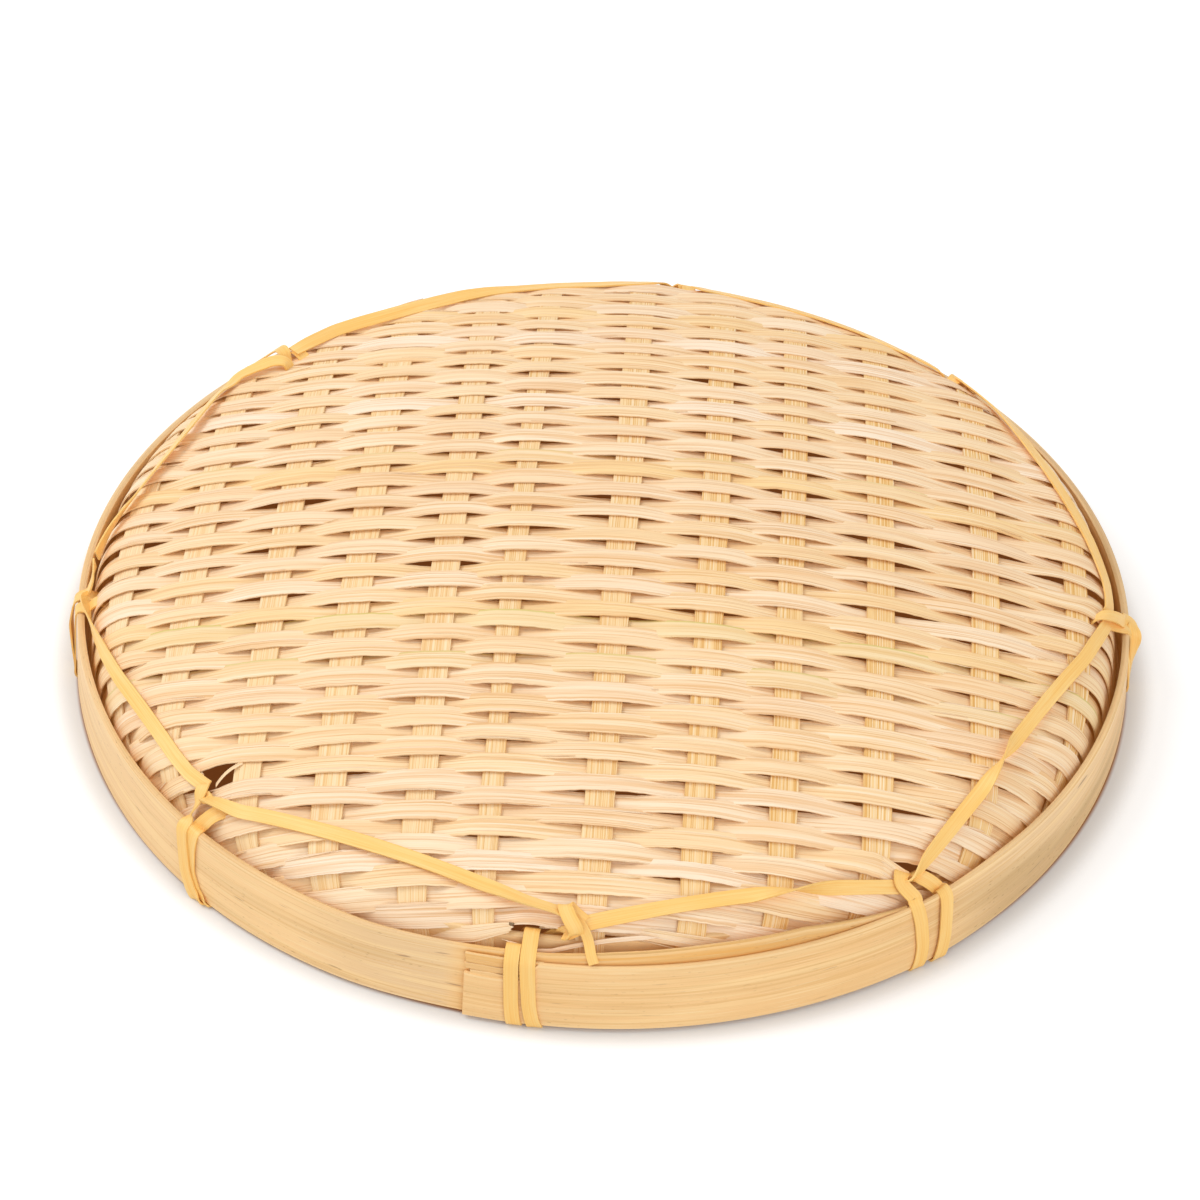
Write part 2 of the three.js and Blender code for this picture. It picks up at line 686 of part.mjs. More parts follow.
addPiece('outer_hoop', outerHoopGeometry(), bamboo.hoop);
addPiece('inner_hoop', innerHoopGeometry(), bamboo.hoop);
stakes.forEach((stake, i) => addPiece(`stake_${twoDigits(i + 1)}`, stakeGeometry(stake), bamboo.stake));
for (let row = 0; row < WEFT_COUNT; row += 2) {
  const rows = [row, row + 1].filter((each) => each < WEFT_COUNT);
  addPiece(`weft_pair_${twoDigits(row / 2 + 1)}`, cutWeftPair(rows), bamboo.weft);
}
ties.forEach((tie, i) => {
  const rings = strandRings(spanStations(tie, ties[(i + 1) % ties.length]));
  console.log(`lashing_span_${i + 1}: least gap to itself ${leastSelfGap(rings).toFixed(2)} mm`);
  addPiece(`lashing_span_${i + 1}`, loft(rings), bamboo.strand);
});
addPiece('lashing_knot', loft(strandRings(knotStations(ties[0], ties[1]))), bamboo.strand);

export default tray;
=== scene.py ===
import math
import bpy
import numpy as np
from mathutils import Matrix, Vector


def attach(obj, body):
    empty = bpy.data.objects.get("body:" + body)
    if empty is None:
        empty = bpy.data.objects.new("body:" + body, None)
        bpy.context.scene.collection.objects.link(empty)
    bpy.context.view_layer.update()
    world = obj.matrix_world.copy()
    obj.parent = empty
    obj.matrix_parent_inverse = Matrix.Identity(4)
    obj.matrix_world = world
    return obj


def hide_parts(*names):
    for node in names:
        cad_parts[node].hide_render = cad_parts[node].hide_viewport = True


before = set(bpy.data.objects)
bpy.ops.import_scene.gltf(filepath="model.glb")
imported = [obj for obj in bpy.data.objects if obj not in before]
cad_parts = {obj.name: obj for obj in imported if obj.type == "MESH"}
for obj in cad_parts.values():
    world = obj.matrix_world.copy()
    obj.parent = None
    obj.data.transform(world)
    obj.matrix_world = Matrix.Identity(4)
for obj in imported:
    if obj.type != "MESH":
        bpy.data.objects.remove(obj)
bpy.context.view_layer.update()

MM = 0.001


# Camera. The tray lies mouth down and is seen from the front, about 40 degrees above the
# surface that it lies on, with the camera turned a little clockwise.
CAMERA_LENS = 105.0
CAMERA_DISTANCE = 1010.0
CAMERA_ELEVATION = math.radians(40.2)
CAMERA_ROLL = math.radians(1.77)
LOOKED_AT = np.array([-1.17, 17.4, 0.95])


def add_object(name, data):
    """An object with its data, linked to the scene."""
    made = bpy.data.objects.new(name, data)
    bpy.context.scene.collection.objects.link(made)
    return made


level = np.array([1.0, 0.0, 0.0])
upward = np.array([0.0, math.sin(CAMERA_ELEVATION), math.cos(CAMERA_ELEVATION)])
ahead = np.array([0.0, math.cos(CAMERA_ELEVATION), -math.sin(CAMERA_ELEVATION)])
camera_right = math.cos(CAMERA_ROLL) * level + math.sin(CAMERA_ROLL) * upward
camera_up = math.cos(CAMERA_ROLL) * upward - math.sin(CAMERA_ROLL) * level
camera_place = (LOOKED_AT - CAMERA_DISTANCE * ahead) * MM
camera_data = bpy.data.cameras.new("camera")
camera_data.lens = CAMERA_LENS
camera_data.sensor_width = 36.0
camera = add_object("camera", camera_data)
camera.matrix_world = Matrix.Translation(Vector(camera_place)) @ Matrix(
    np.array([camera_right, camera_up, -ahead]).T.tolist()).to_4x4()
bpy.context.scene.camera = camera


# Hoops. Two flat strips of split bamboo are bent round and lean inwards; the outer one laps
# over itself at the front, where its cut end shows, and the inner one clamps the mat's edge.
HOOP_FOOT_RADIUS = 150.0
HOOP_LEAN = math.radians(8.3)
HOOP_THICKNESS = 2.0
OUTER_HOOP_WIDTH = 19.4
INNER_HOOP_WIDTH = 18.4
FOOT_HEIGHT = 0.95
HOOP_TOP = FOOT_HEIGHT + OUTER_HOOP_WIDTH
LAP_END = 257.4
LAP_SPAN = 45.6
LAP_BLEND = 14.0
LAP_LAYER = 1.1
LAP_GAP = 0.3
# The strip's hidden end stands above its visible end; at the visible end the skin is torn away
LAP_RISE_AT = np.array([350.0, 363.0, 368.0, 375.0, 384.0, 394.0, 405.0])
LAP_RISE = np.array([0.0, 1.7, 2.0, 3.4, 4.4, 4.4, 0.0])
TORN_SPAN = 7.2
TORN_DEPTH = 5.9
TORN_EASE = 1.6
# Fibre layers of the torn end: foot and top above the floor, setback in degrees, depth in the strip
FIBRE_LAYERS = ((18.75, 20.45, 0.0, 0.42), (17.5, 18.85, 0.08, 0.56), (16.55, 17.35, -0.05, 0.42),
                (15.5, 16.5, 0.1, 0.6), (14.2, 15.45, 0.55, 0.36))
FIBRE_THICKNESS = 0.55
# Where the hoop's foot is pulled in: azimuth, spread in degrees, depth
FOOT_TUCKS = ((342.0, 27.0, 1.9), (196.0, 24.0, 1.7))
# Azimuths of the strip's yellowest part, and of the part where its dark skin patches gather; gathered
# there they also paint the shade of the tray's right side
YELLOWEST = 255.0
DARK_AND_SHADED_SIDE = 330.0
SHARP_FROM = math.radians(38.0)
WEAVE_TURN = -2.1


def ease(value, low, high):
    """0 below low, 1 above high, and three times its square less twice its cube between."""
    share = np.clip((value - low) / (high - low), 0.0, 1.0)
    return share * share * (3.0 - 2.0 * share)


def leaning(foot_radius, z):
    """Radius at height z of a wall that leans in: the foot radius less z times tan of the lean."""
    return foot_radius - z * math.tan(HOOP_LEAN)


def foot_tuck(azimuth):
    """How far the hoop's foot is pulled in at an azimuth in degrees: a bell at each side."""
    return sum(depth * np.exp(-(((azimuth - middle + 180.0) % 360.0 - 180.0) / spread) ** 2)
               for middle, spread, depth in FOOT_TUCKS)


def wander(rng, count, step):
    """A smooth random line: unit random values every step samples, joined by cubic easing."""
    knots = rng.normal(size=count // step + 3)
    place = np.arange(count) / step
    before = place.astype(int)
    share = ease(place - before, 0.0, 1.0)
    return knots[before] * (1.0 - share) + knots[before + 1] * share


def flat_section(columns, roundness):
    """Outline of a flat strip: (across, through) pairs from -1 to 1, its edges rounded off.

    The upper face runs from +1 to -1 across, then down the edge and back along the lower face.
    """
    face = np.linspace(1.0, -1.0, columns)
    upper = [(a * 0.97, 1.0) for a in face]
    lower = [(-a * 0.97, -1.0) for a in face]
    return np.array(upper + [(-1.0, roundness), (-1.0, -roundness)]
                    + lower + [(1.0, -roundness), (1.0, roundness)])


def lengths_along(points):
    """Length along a line of points, from the first point to each of them."""
    return np.concatenate([[0.0], np.cumsum(np.linalg.norm(np.diff(points, axis=0), axis=1))])


def strip_mesh(name, strips, tones):
    """A mesh of closed strips. Each strip is an array of rings (rings, ring points, 3) in mm.

    Quads join each ring to the next one, and a polygon closes each end. The map 'strip' holds
    the place round the ring in ring points and the length along the strip in metres; the
    attribute 'tone' holds four numbers, of the whole strip or of each ring.
    """
    points, corners, sizes, maps, colours = [], [], [], [], []
    base = 0
    for rings, tone in zip(strips, tones):
        count, around = rings.shape[:2]
        along = lengths_along(rings.mean(axis=1))
        i, j = np.meshgrid(np.arange(count - 1), np.arange(around), indexing="ij")
        quad = ((i, j), (i + 1, j), (i + 1, j + 1), (i, j + 1))
        quads = np.stack([ring * around + place % around for ring, place in quad], -1)
        quad_map = np.stack([np.stack([place, along[ring] * MM], -1) for ring, place in quad], axis=2)
        points.append(rings.reshape(-1, 3))
        colours.append(np.repeat(np.broadcast_to(tone, (count, 4)), around, axis=0))
        corners.append(quads.reshape(-1) + base)
        sizes.append(np.full(quads.shape[0] * around, 4))
        maps.append(quad_map.reshape(-1, 2))
        first = np.arange(around)
        last = (count - 1) * around + first[::-1]
        for cap, length in ((first, 0.0), (last, along[-1])):
            corners.append(cap + base)
            sizes.append(np.array([around]))
            maps.append(np.stack([cap % around, np.full(around, length * MM)], -1))
        base += count * around
    points = np.concatenate(points) * MM
    corners = np.concatenate(corners)
    sizes = np.concatenate(sizes)
    mesh = bpy.data.meshes.new(name)
    mesh.vertices.add(len(points))
    mesh.vertices.foreach_set("co", points.astype(np.float32).ravel())
    mesh.loops.add(len(corners))
    mesh.loops.foreach_set("vertex_index", corners.astype(np.int32))
    mesh.polygons.add(len(sizes))
    mesh.polygons.foreach_set("loop_start", (np.cumsum(sizes) - sizes).astype(np.int32))
    mesh.polygons.foreach_set("use_smooth", np.ones(len(sizes), dtype=bool))
    mesh.update(calc_edges=True)
    layer = mesh.uv_layers.new(name="strip")
    layer.data.foreach_set("uv", np.concatenate(maps).astype(np.float32).ravel())
    tone_layer = mesh.attributes.new("tone", "FLOAT_COLOR", "POINT")
    tone_layer.data.foreach_set("color", np.concatenate(colours).astype(np.float32).ravel())
    mesh.set_sharp_from_angle(angle=SHARP_FROM)
    mesh.validate()
    return mesh


def add_piece(name, node, strips, tones, material):
    """Makes the strips one piece that rides on the tray and stands for a CAD node."""
    mesh = strip_mesh(name, strips, tones)
    mesh.materials.append(material)
    piece = add_object(name, mesh)
    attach(piece, "root")
    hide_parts(node)


class Wire:
    """A socket of a shader: the operators on it add Math nodes to its tree."""

    def __init__(self, tree, socket):
        self.tree = tree
        self.socket = socket

    def maths(self, operation, *terms):
        return add_node(self.tree, "ShaderNodeMath", 0, dict(enumerate(terms)), operation=operation)

    def __add__(self, other):
        return self.maths("ADD", self, other)

    def __mul__(self, other):
        return self.maths("MULTIPLY", self, other)

    __radd__ = __add__
    __rmul__ = __mul__

    def larger(self, other):
        return self.maths("MAXIMUM", self, other)

    def step(self, low, high):
        """0 below low and 1 above high, eased between; it falls where low is above high."""
        falling = low > high
        return add_node(self.tree, "ShaderNodeMapRange", 0, {
            "Value": self, "From Min": min(low, high), "From Max": max(low, high),
            "To Min": float(falling), "To Max": float(not falling)}, interpolation_type="SMOOTHSTEP")

    def beside(self, output):
        """Another output of the same node."""
        return Wire(self.tree, self.socket.node.outputs[output])


def plug(tree, entry, value):
    """Links a wire to a socket, or sets the socket to a plain value."""
    if isinstance(value, Wire):
        tree.links.new(value.socket, entry)
    else:
        entry.default_value = value


def add_node(tree, kind, output, entries, **settings):
    """Adds a node: its settings first, then its sockets by name or place; gives one output."""
    node = tree.nodes.new(kind)
    for key, value in settings.items():
        setattr(node, key, value)
    for key, value in entries.items():
        plug(tree, node.inputs[key], value)
    return Wire(tree, node.outputs[output])


def paint(red, green, blue):
    """A colour as seen on a screen, 0 to 255, as the linear values that a shader takes."""
    values = np.array([red, green, blue]) / 255.0
    linear = np.where(values <= 0.04045, values / 12.92, ((values + 0.055) / 1.055) ** 2.4)
    return (*linear.tolist(), 1.0)


class Finish:
    """A material with one Principled shader, and the nodes that feed it."""

    def __init__(self, name, **constants):
        self.material = bpy.data.materials.new(name)
        self.material.use_nodes = True
        self.tree = self.material.node_tree
        for key, value in constants.items():
            self.feed(key.replace("_", " "), value)

    def feed(self, entry, value):
        """Gives a socket of the shader a value or a wire."""
        plug(self.tree, self.tree.nodes["Principled BSDF"].inputs[entry], value)

    def mix(self, factor, first, second):
        """Colour mix of two colours or colour wires by a factor."""
        return add_node(self.tree, "ShaderNodeMix", 2, {0: factor, 6: first, 7: second},
                        data_type="RGBA")

    def finish(self, roughness, height, distance, base, *coats):
        """Feeds the shader: roughness, a bump from a height, and a colour.

        The colour is a base colour with coats, each a factor and a colour, mixed over it.
        """
        bump = add_node(self.tree, "ShaderNodeBump", 0, {
            "Strength": 1.0, "Distance": distance, "Height": height})
        colour = paint(*base)
        for factor, coat in coats:
            colour = self.mix(factor, colour, paint(*coat))
        for entry, value in (("Base Color", colour), ("Roughness", roughness), ("Normal", bump)):
            self.feed(entry, value)
        return self.material


class StripFinish(Finish):
    """The finish of a strip, whose streaks run along it."""

    def __init__(self, name, **constants):
        super().__init__(name, **constants)
        place = add_node(self.tree, "ShaderNodeUVMap", "UV", {}, uv_map="strip")
        # Place on the strip: round its outline in ring points, and along it in metres
        self.across = add_node(self.tree, "ShaderNodeSeparateXYZ", 0, {0: place})
        self.along = self.across.beside(1)

    def tone(self):
        """The strip's own four numbers."""
        colour = add_node(self.tree, "ShaderNodeAttribute", "Color", {}, attribute_name="tone")
        red = add_node(self.tree, "ShaderNodeSeparateColor", 0, {0: colour})
        return red, red.beside(1), red.beside(2), colour.beside("Alpha")

    def streaks(self, across, along, seed, detail=2.0, distortion=0.0, shift=0.0):
        """Noise from 0 to 1 with its scales across and along the strip, shifted along it."""
        place = add_node(self.tree, "ShaderNodeCombineXYZ", 0, {
            0: self.across * across, 1: self.along * along + shift, 2: seed})
        return add_node(self.tree, "ShaderNodeTexNoise", 0, {
            "Vector": place, "Scale": 1.0, "Detail": detail, "Roughness": 0.55,
            "Distortion": distortion})


# Painted glow: a little warm emission on all the bamboo stands in for the light that comes through thin
# bamboo and bounces in the weave; it shows most in the gaps of the weave
PAINTED_WARM_GLOW = {"Emission_Color": (0.03, 0.014, 0.0025, 1.0), "Emission_Strength": 1.0}
hoop_section = flat_section(9, 0.3)
hoop = StripFinish("split_bamboo_hoop", Specular_IOR_Level=0.4, **PAINTED_WARM_GLOW)
grey, golden, dark_skin_and_shade, speckled = hoop.tone()
fine = hoop.streaks(5.5, 30.0, 0.0, 3.0)
broad = hoop.streaks(1.1, 14.0, 4.0, 2.0, 0.4)
grain = hoop.streaks(3.4, 12.0, 2.5)
hairs = hoop.streaks(10.0, 40.0, 9.0)
speck_noise = hoop.streaks(5.5, 420.0, 15.0, 1.0)
spot_noise = hoop.streaks(1.7, 70.0, 21.0, 1.0)
patch = hoop.streaks(0.25, 9.0, 30.0)
# The cut edges of the strip, at its top and foot, are paler and a little orange
top_edge = hoop.across.step(0.5, 0.15)
foot_edge = hoop.across.step(7.75, 8.0) * hoop.across.step(10.6, 10.0)
hoop_material = hoop.finish(
    0.42 + fine * 0.16, fine * 0.6 + hairs * 0.4, 0.00014,
    (249, 208, 151), (grey, (224, 191, 148)), (golden, (234, 174, 88)),
    (broad.step(0.4, 0.7) * 0.6, (252, 218, 160)),
    (grain.step(0.5, 0.36) * 0.5, (224, 176, 108)),
    (fine.step(0.45, 0.28) * 0.4, (206, 156, 92)),
    (hairs.step(0.56, 0.72) * 0.5, (255, 230, 182)),
    # Patches of darker skin: the strip's own marks, gathered towards the right, where they also paint that
    # side's shade
    (dark_skin_and_shade * patch.step(0.42, 0.66) * 0.7, (196, 160, 108)),
    (speck_noise.step(0.66, 0.75) * patch.step(0.35, 0.62) * speckled * 0.7, (150, 98, 50)),
    (spot_noise.step(0.72, 0.79) * speckled * 0.6, (140, 98, 74)),
    ((top_edge + foot_edge) * 0.5, (255, 222, 168)))


def hoop_rings(angles, foot_radius, thickness, bottom, top, section):
    """Rings of a hoop: at each azimuth the outline runs over its leaning face and thickness.

    across -1..1 goes from bottom to top, through 1 is the outer face and -1 the inner one.
    """
    foot_radius, thickness, bottom, top = (
        np.broadcast_to(value, angles.shape)[:, None] for value in (foot_radius, thickness, bottom, top))
    across = (section[:, 0] + 1.0) / 2.0
    through = (section[:, 1] + 1.0) / 2.0
    z = bottom + (top - bottom) * across
    radius = leaning(foot_radius, z) - thickness * (1.0 - through)
    radius = radius - foot_tuck(angles)[:, None] * (1.0 - z / HOOP_TOP)
    angle = np.radians(angles)[:, None]
    return np.stack([radius * np.cos(angle), radius * np.sin(angle), z], -1)


rng = np.random.default_rng(11)
HOOP_STEPS = 560
turned = np.linspace(0.0, 360.0 + LAP_SPAN, HOOP_STEPS)
hoop_angles = LAP_END + turned
on_top = 1.0 - ease(turned, LAP_SPAN, LAP_SPAN + LAP_BLEND)
beneath = ease(turned, 360.0 - LAP_BLEND, 360.0)
thin = HOOP_THICKNESS - LAP_LAYER
outer_thickness = HOOP_THICKNESS - thin * np.maximum(on_top, beneath)
proud = HOOP_FOOT_RADIUS - HOOP_THICKNESS + 2.0 * LAP_LAYER + LAP_GAP
outer_foot = HOOP_FOOT_RADIUS + (proud - HOOP_FOOT_RADIUS) * on_top - thin * beneath
outer_top = HOOP_TOP + np.interp(turned, LAP_RISE_AT, LAP_RISE) + 0.2 * wander(rng, HOOP_STEPS, 60)
torn_away = TORN_DEPTH * (1.0 - ease(turned, TORN_SPAN - TORN_EASE, TORN_SPAN))
outer_top = outer_top - torn_away + 0.25 * wander(rng, HOOP_STEPS, 2) * (torn_away > 0.5)
outer_bottom = FOOT_HEIGHT + 0.1 * np.abs(wander(rng, HOOP_STEPS, 45))
# The strip is greyer towards the back and just before the lap, and its hidden end is golden
before_lap = ease(turned, 338.0, 352.0) * (1.0 - ease(turned, 357.0, 361.0))
hoop_grey = (0.65 - 0.65 * np.cos(np.radians(hoop_angles - YELLOWEST))
             + 0.2 * wander(rng, HOOP_STEPS, 40) + 0.7 * before_lap)
hoop_golden = (0.25 * on_top + 0.95 * ease(turned, 357.0, 362.0)
               + 0.1 * wander(rng, HOOP_STEPS, 30))
hoop_tone = np.stack([
    np.clip(hoop_grey, 0.0, 1.0), np.clip(hoop_golden, 0.0, 1.0),
    # Dark skin, most at the right front: partly the strip's own, partly painted shade on that side
    np.clip(0.55 + 0.45 * np.cos(np.radians(hoop_angles - DARK_AND_SHADED_SIDE)), 0.1, 1.0) * (1.0 - 0.7 * on_top),
    1.0 - 0.5 * on_top], -1)
# Where the skin is torn away at the visible end, layers of fibres are left, one above another
outer_strips = [hoop_rings(hoop_angles, outer_foot, outer_thickness, outer_bottom, outer_top,
                           hoop_section)]
outer_tones = [hoop_tone]
FIBRE_STEPS = 30
for number, (low, high, setback, depth) in enumerate(FIBRE_LAYERS):
    angles = np.linspace(LAP_END + setback, LAP_END + TORN_SPAN + 0.6, FIBRE_STEPS)
    uneven = 0.09 * wander(rng, FIBRE_STEPS, 4)
    outer_strips.append(hoop_rings(angles, proud - depth + 0.4 * uneven, FIBRE_THICKNESS,
                                   low + 0.5 * uneven, high + uneven, flat_section(3, 0.3)))
    outer_tones.append([0.1, 0.75 - 0.12 * number, 0.0, 0.1])
add_piece("outer_hoop_bamboo", "outer_hoop", outer_strips, outer_tones, hoop_material)

WEFT_LIFT = 1.4
WEFT_THICKNESS = 0.4
MAT_TO_HOOP_GAP = 0.45
MAT_HALF = WEFT_LIFT + WEFT_THICKNESS / 2.0
MAT_FOOT_RADIUS = HOOP_FOOT_RADIUS - HOOP_THICKNESS - MAT_TO_HOOP_GAP - MAT_HALF
INNER_HOOP_RADIUS = MAT_FOOT_RADIUS - MAT_HALF - MAT_TO_HOOP_GAP
# The inner hoop is butted at the back; at the front it stands up to the mat's shoulder
INNER_FROM, INNER_TO, INNER_STEPS = 112.3, 471.7, 360
INNER_RISE = 4.2
INNER_OUTWARDS = 1.2
INNER_SETBACK = 0.3
RISE_MIDDLE = 268.0
inner_angles = np.linspace(INNER_FROM, INNER_TO, INNER_STEPS)
at_front = ease(np.cos(np.radians(inner_angles - RISE_MIDDLE)), 0.93, 0.97)
inner_top = (FOOT_HEIGHT + INNER_HOOP_WIDTH + INNER_RISE * at_front
             + 0.2 * wander(rng, INNER_STEPS, 50))
inner_rings = hoop_rings(inner_angles, INNER_HOOP_RADIUS - INNER_SETBACK + INNER_OUTWARDS * at_front,
                         HOOP_THICKNESS, FOOT_HEIGHT, inner_top, hoop_section)
inner_patches = [np.clip(0.3 + 0.2 * wander(rng, INNER_STEPS, 40), 0.0, 1.0) for _ in range(2)]
inner_tone = np.stack([*inner_patches, np.full(INNER_STEPS, 0.2), np.full(INNER_STEPS, 0.5)], -1)
add_piece("inner_hoop_bamboo", "inner_hoop", [inner_rings], [inner_tone], hoop_material)


# Stakes. Twelve thin flat strips of split bamboo run from front to back under a low dome;
# they are the yellower, stiffer strips of the plain weave, and their ends are clamped in the rim.
CROWN_HEIGHT = 50.1
CAP_RADIUS = 450.0
SHOULDER_RADIUS = 18.0
MAT_EDGE_INSET = 2.2
STAKES = np.array([
    [-134.0, 7.4], [-113.3, 7.8], [-89.0, 7.6], [-66.1, 8.6], [-42.1, 7.8], [-23.8, 5.8],
    [4.5, 8.0], [29.9, 7.8], [51.7, 7.0], [76.3, 7.8], [105.6, 8.0], [133.2, 7.2]])
STAKES_ACROSS = 268.0
STAKE_THICKNESS = 0.8
WALL_DRAWN_IN = 0.6
DRAWN_FROM = 8.0
STAKE_STEP = 1.6

# The dome is a spherical cap, a round shoulder tangent to it, and a wall that leans as the hoops do
lean_tangent = math.tan(HOOP_LEAN)
shoulder_reach = MAT_FOOT_RADIUS - SHOULDER_RADIUS / math.cos(HOOP_LEAN)
cap_centre = CROWN_HEIGHT - CAP_RADIUS
quadratic = 1.0 + lean_tangent ** 2
half_linear = -(shoulder_reach * lean_tangent + cap_centre)
constant = shoulder_reach ** 2 + cap_centre ** 2 - (CAP_RADIUS - SHOULDER_RADIUS) ** 2
shoulder_z = (-half_linear + math.sqrt(half_linear ** 2 - quadratic * constant)) / quadratic
shoulder_r = shoulder_reach - lean_tangent * shoulder_z
shoulder_start = math.atan2(shoulder_r, shoulder_z - cap_centre)
shoulder_end = math.pi / 2.0 - HOOP_LEAN
CAP_LENGTH = CAP_RADIUS * shoulder_start
SHOULDER_LENGTH = SHOULDER_RADIUS * (shoulder_end - shoulder_start)
wall_r = shoulder_r + SHOULDER_RADIUS * math.sin(shoulder_end)
wall_z = shoulder_z + SHOULDER_RADIUS * math.cos(shoulder_end)
wall_length = (wall_z - FOOT_HEIGHT - MAT_EDGE_INSET) / math.cos(HOOP_LEAN)
MAT_REACH = CAP_LENGTH + SHOULDER_LENGTH + wall_length


def profile(length):
    """Radius, height and outward normal of the dome at an arc length from its crown.

    On the cap and on the shoulder the angle is arc length over radius; the wall is straight.
    """
    cap = length < CAP_LENGTH
    down = length - CAP_LENGTH - SHOULDER_LENGTH
    wall = down > 0.0
    on_shoulder = shoulder_start + (length - CAP_LENGTH) / SHOULDER_RADIUS
    angle = np.where(cap, length / CAP_RADIUS, np.minimum(on_shoulder, shoulder_end))
    nr, nz = np.sin(angle), np.cos(angle)
    r = np.where(cap, CAP_RADIUS * nr, shoulder_r + SHOULDER_RADIUS * nr)
    z = np.where(cap, cap_centre + CAP_RADIUS * nz, shoulder_z + SHOULDER_RADIUS * nz)
    r = np.where(wall, wall_r + down * math.sin(HOOP_LEAN), r)
    r = r - WALL_DRAWN_IN * ease(length, CAP_LENGTH + DRAWN_FROM, CAP_LENGTH + SHOULDER_LENGTH)
    z = np.where(wall, wall_z - down * math.cos(HOOP_LEAN), z)
    return r, z, nr, nz


def dome(s, t, lift):
    """Point of the mat from flat weave coordinates: s across, t to the back, lift outwards.

    The distance from the crown becomes arc length on the profile, and the direction its azimuth.
    """
    r, z, nr, nz = profile(np.hypot(s, t))
    angle = np.arctan2(t, s) + math.radians(WEAVE_TURN)
    radius = r + lift * nr
    return np.stack([radius * np.cos(angle), radius * np.sin(angle), z + lift * nz], -1)


def stations(low, high, step):
    """Evenly spaced places from low to high, about a step apart."""
    return np.linspace(low, high, max(int(round((high - low) / step)), 2) + 1)


stake_section = flat_section(7, 0.3)
stake = StripFinish("split_bamboo_stake", Specular_IOR_Level=0.3, **PAINTED_WARM_GLOW)
_, warm, contrast, seed = stake.tone()
ribs = stake.streaks(3.6, 8.0, seed * 40.0, 1.0, shift=seed * 60.0)
fibres = stake.streaks(11.0, 45.0, seed * 23.0)
blotch = stake.streaks(0.5, 60.0, seed * 11.0)
stake_material = stake.finish(
    0.5 + fibres * 0.2, ribs * 0.7 + fibres * 0.3, 0.00022,
    (252, 224, 180), (warm, (244, 203, 134)),
    (ribs.step(0.5, 0.38) * contrast, (222, 163, 78)),
    (ribs.step(0.54, 0.68) * contrast, (255, 236, 204)),
    (fibres.step(0.46, 0.3) * 0.35, (214, 166, 104)),
    (blotch.step(0.5, 0.75) * 0.25, (228, 180, 118)))

for number, (at, width) in enumerate(STAKES, 1):
    half = width / 2.0
    end = math.sqrt(MAT_REACH ** 2 - (abs(at) + half) ** 2)
    t = stations(-end, end, STAKE_STEP)
    edge = half + 0.12 * wander(rng, len(t), 9)
    s = (at + 0.25 * wander(rng, len(t), 40))[:, None] + edge[:, None] * stake_section[:, 0]
    rings = dome(s, t[:, None], STAKE_THICKNESS / 2.0 * stake_section[:, 1])[::-1]
    # Towards the right the stakes are warmer and their ribs plainer
    rightness = (at - STAKES[0, 0]) / STAKES_ACROSS
    tone = [rng.uniform(0.3, 0.7), 0.1 + 0.75 * rightness + rng.uniform(-0.1, 0.1),
            0.3 + 0.6 * rightness, rng.random()]
    add_piece(f"stake_{number:02d}_strip", f"stake_{number:02d}", [rings], [tone],
              stake_material)


# Wefts. Sixty-three limber strips, paler and of uneven width, run across, over one stake and
# under the next. They are packed so tightly that each one tucks under its neighbours between
# the stakes, and small dark gaps stay open beside each stake.
WEFT_COUNT = 63
MIDDLE_ROW = 31
WEFT_PITCH = 4.875
WEFT_SHIFT = 1.3
WEFT_TO_WEFT_GAP = 0.42
WEFT_WAVE = 0.85
STRIP_THICKNESS = 0.42
WEFT_END_CLEARANCE = 10.5
WEFT_CUT_SHORT = 1.2
BAND_OVERLAP = 1.35
WIDER_AT_BACK = 0.6
WEFT_STEP = 1.5
WEAVE_EASED_OUT = 22.0
FLAT_SHARE = 0.3
# The last row is pushed down by the front tie and squeezed narrower: push, squeeze, at s, reach
LAST_PUSH, LAST_SQUEEZE, LAST_AT, LAST_REACH = 2.6, 0.7, 1.0, 17.0
# Share of green along the strip's edge, by row
GREEN_EDGED = {41: 1.0, 44: 0.7, 27: 0.35}
# Places in the flat weave where the lashing or a break has pushed strips apart: s, t, push, reach
PARTINGS = [(-12.0, -144.4, 1.5, 6.0), (88.0, -115.4, 1.3, 7.0), (-95.0, -97.0, 0.5, 6.0),
            (128.0, -5.4, 1.5, 6.0), (141.0, -7.5, 1.7, 5.0), (-2.0, -143.5, 0.6, 5.0)]
# Broken strips: the gap from s to s, by row
BREAKS = {61: (-15.2, -9.4), 52: (-103.5, -99.5), 51: (-100.8, -90.2), 55: (84.5, 96.0)}
# Share of the half width that the far edge of a broken end has lost, by row
FRAYED = {52: 0.2, 55: 0.42}
FRAYED_OVER = 9.0
RAGGED = 2.6
# The strip broken at the front tie has split lengthwise: s, far edge, near edge
SPLIT_ROW = 61
SPLIT_EDGES = np.array([
    [-110.0, -142.3, -147.6], [-60.0, -142.5, -147.5], [-32.0, -143.0, -147.3], [-25.4, -142.4, -146.8],
    [-18.6, -141.8, -144.8], [-15.3, -141.7, -144.0], [-9.4, -141.2, -143.1], [-2.2, -141.3, -143.0],
    [4.2, -141.4, -143.7], [12.7, -141.0, -144.0], [30.0, -141.6, -145.0], [60.0, -142.4, -147.4],
    [110.0, -142.3, -147.6]])
# A pale splinter of the last strip crosses the front tie, behind the strand: s, t, lift
SPLINTER = np.array([
    [-18.5, -145.9, 1.2], [-15.9, -146.6, 1.7], [-13.0, -147.5, 2.2], [-9.5, -148.3, 2.2],
    [-5.8, -148.3, 2.0], [0.7, -146.6, 1.9], [9.5, -144.8, 1.8], [16.3, -143.7, 1.7], [22.1, -143.1, 1.5]])
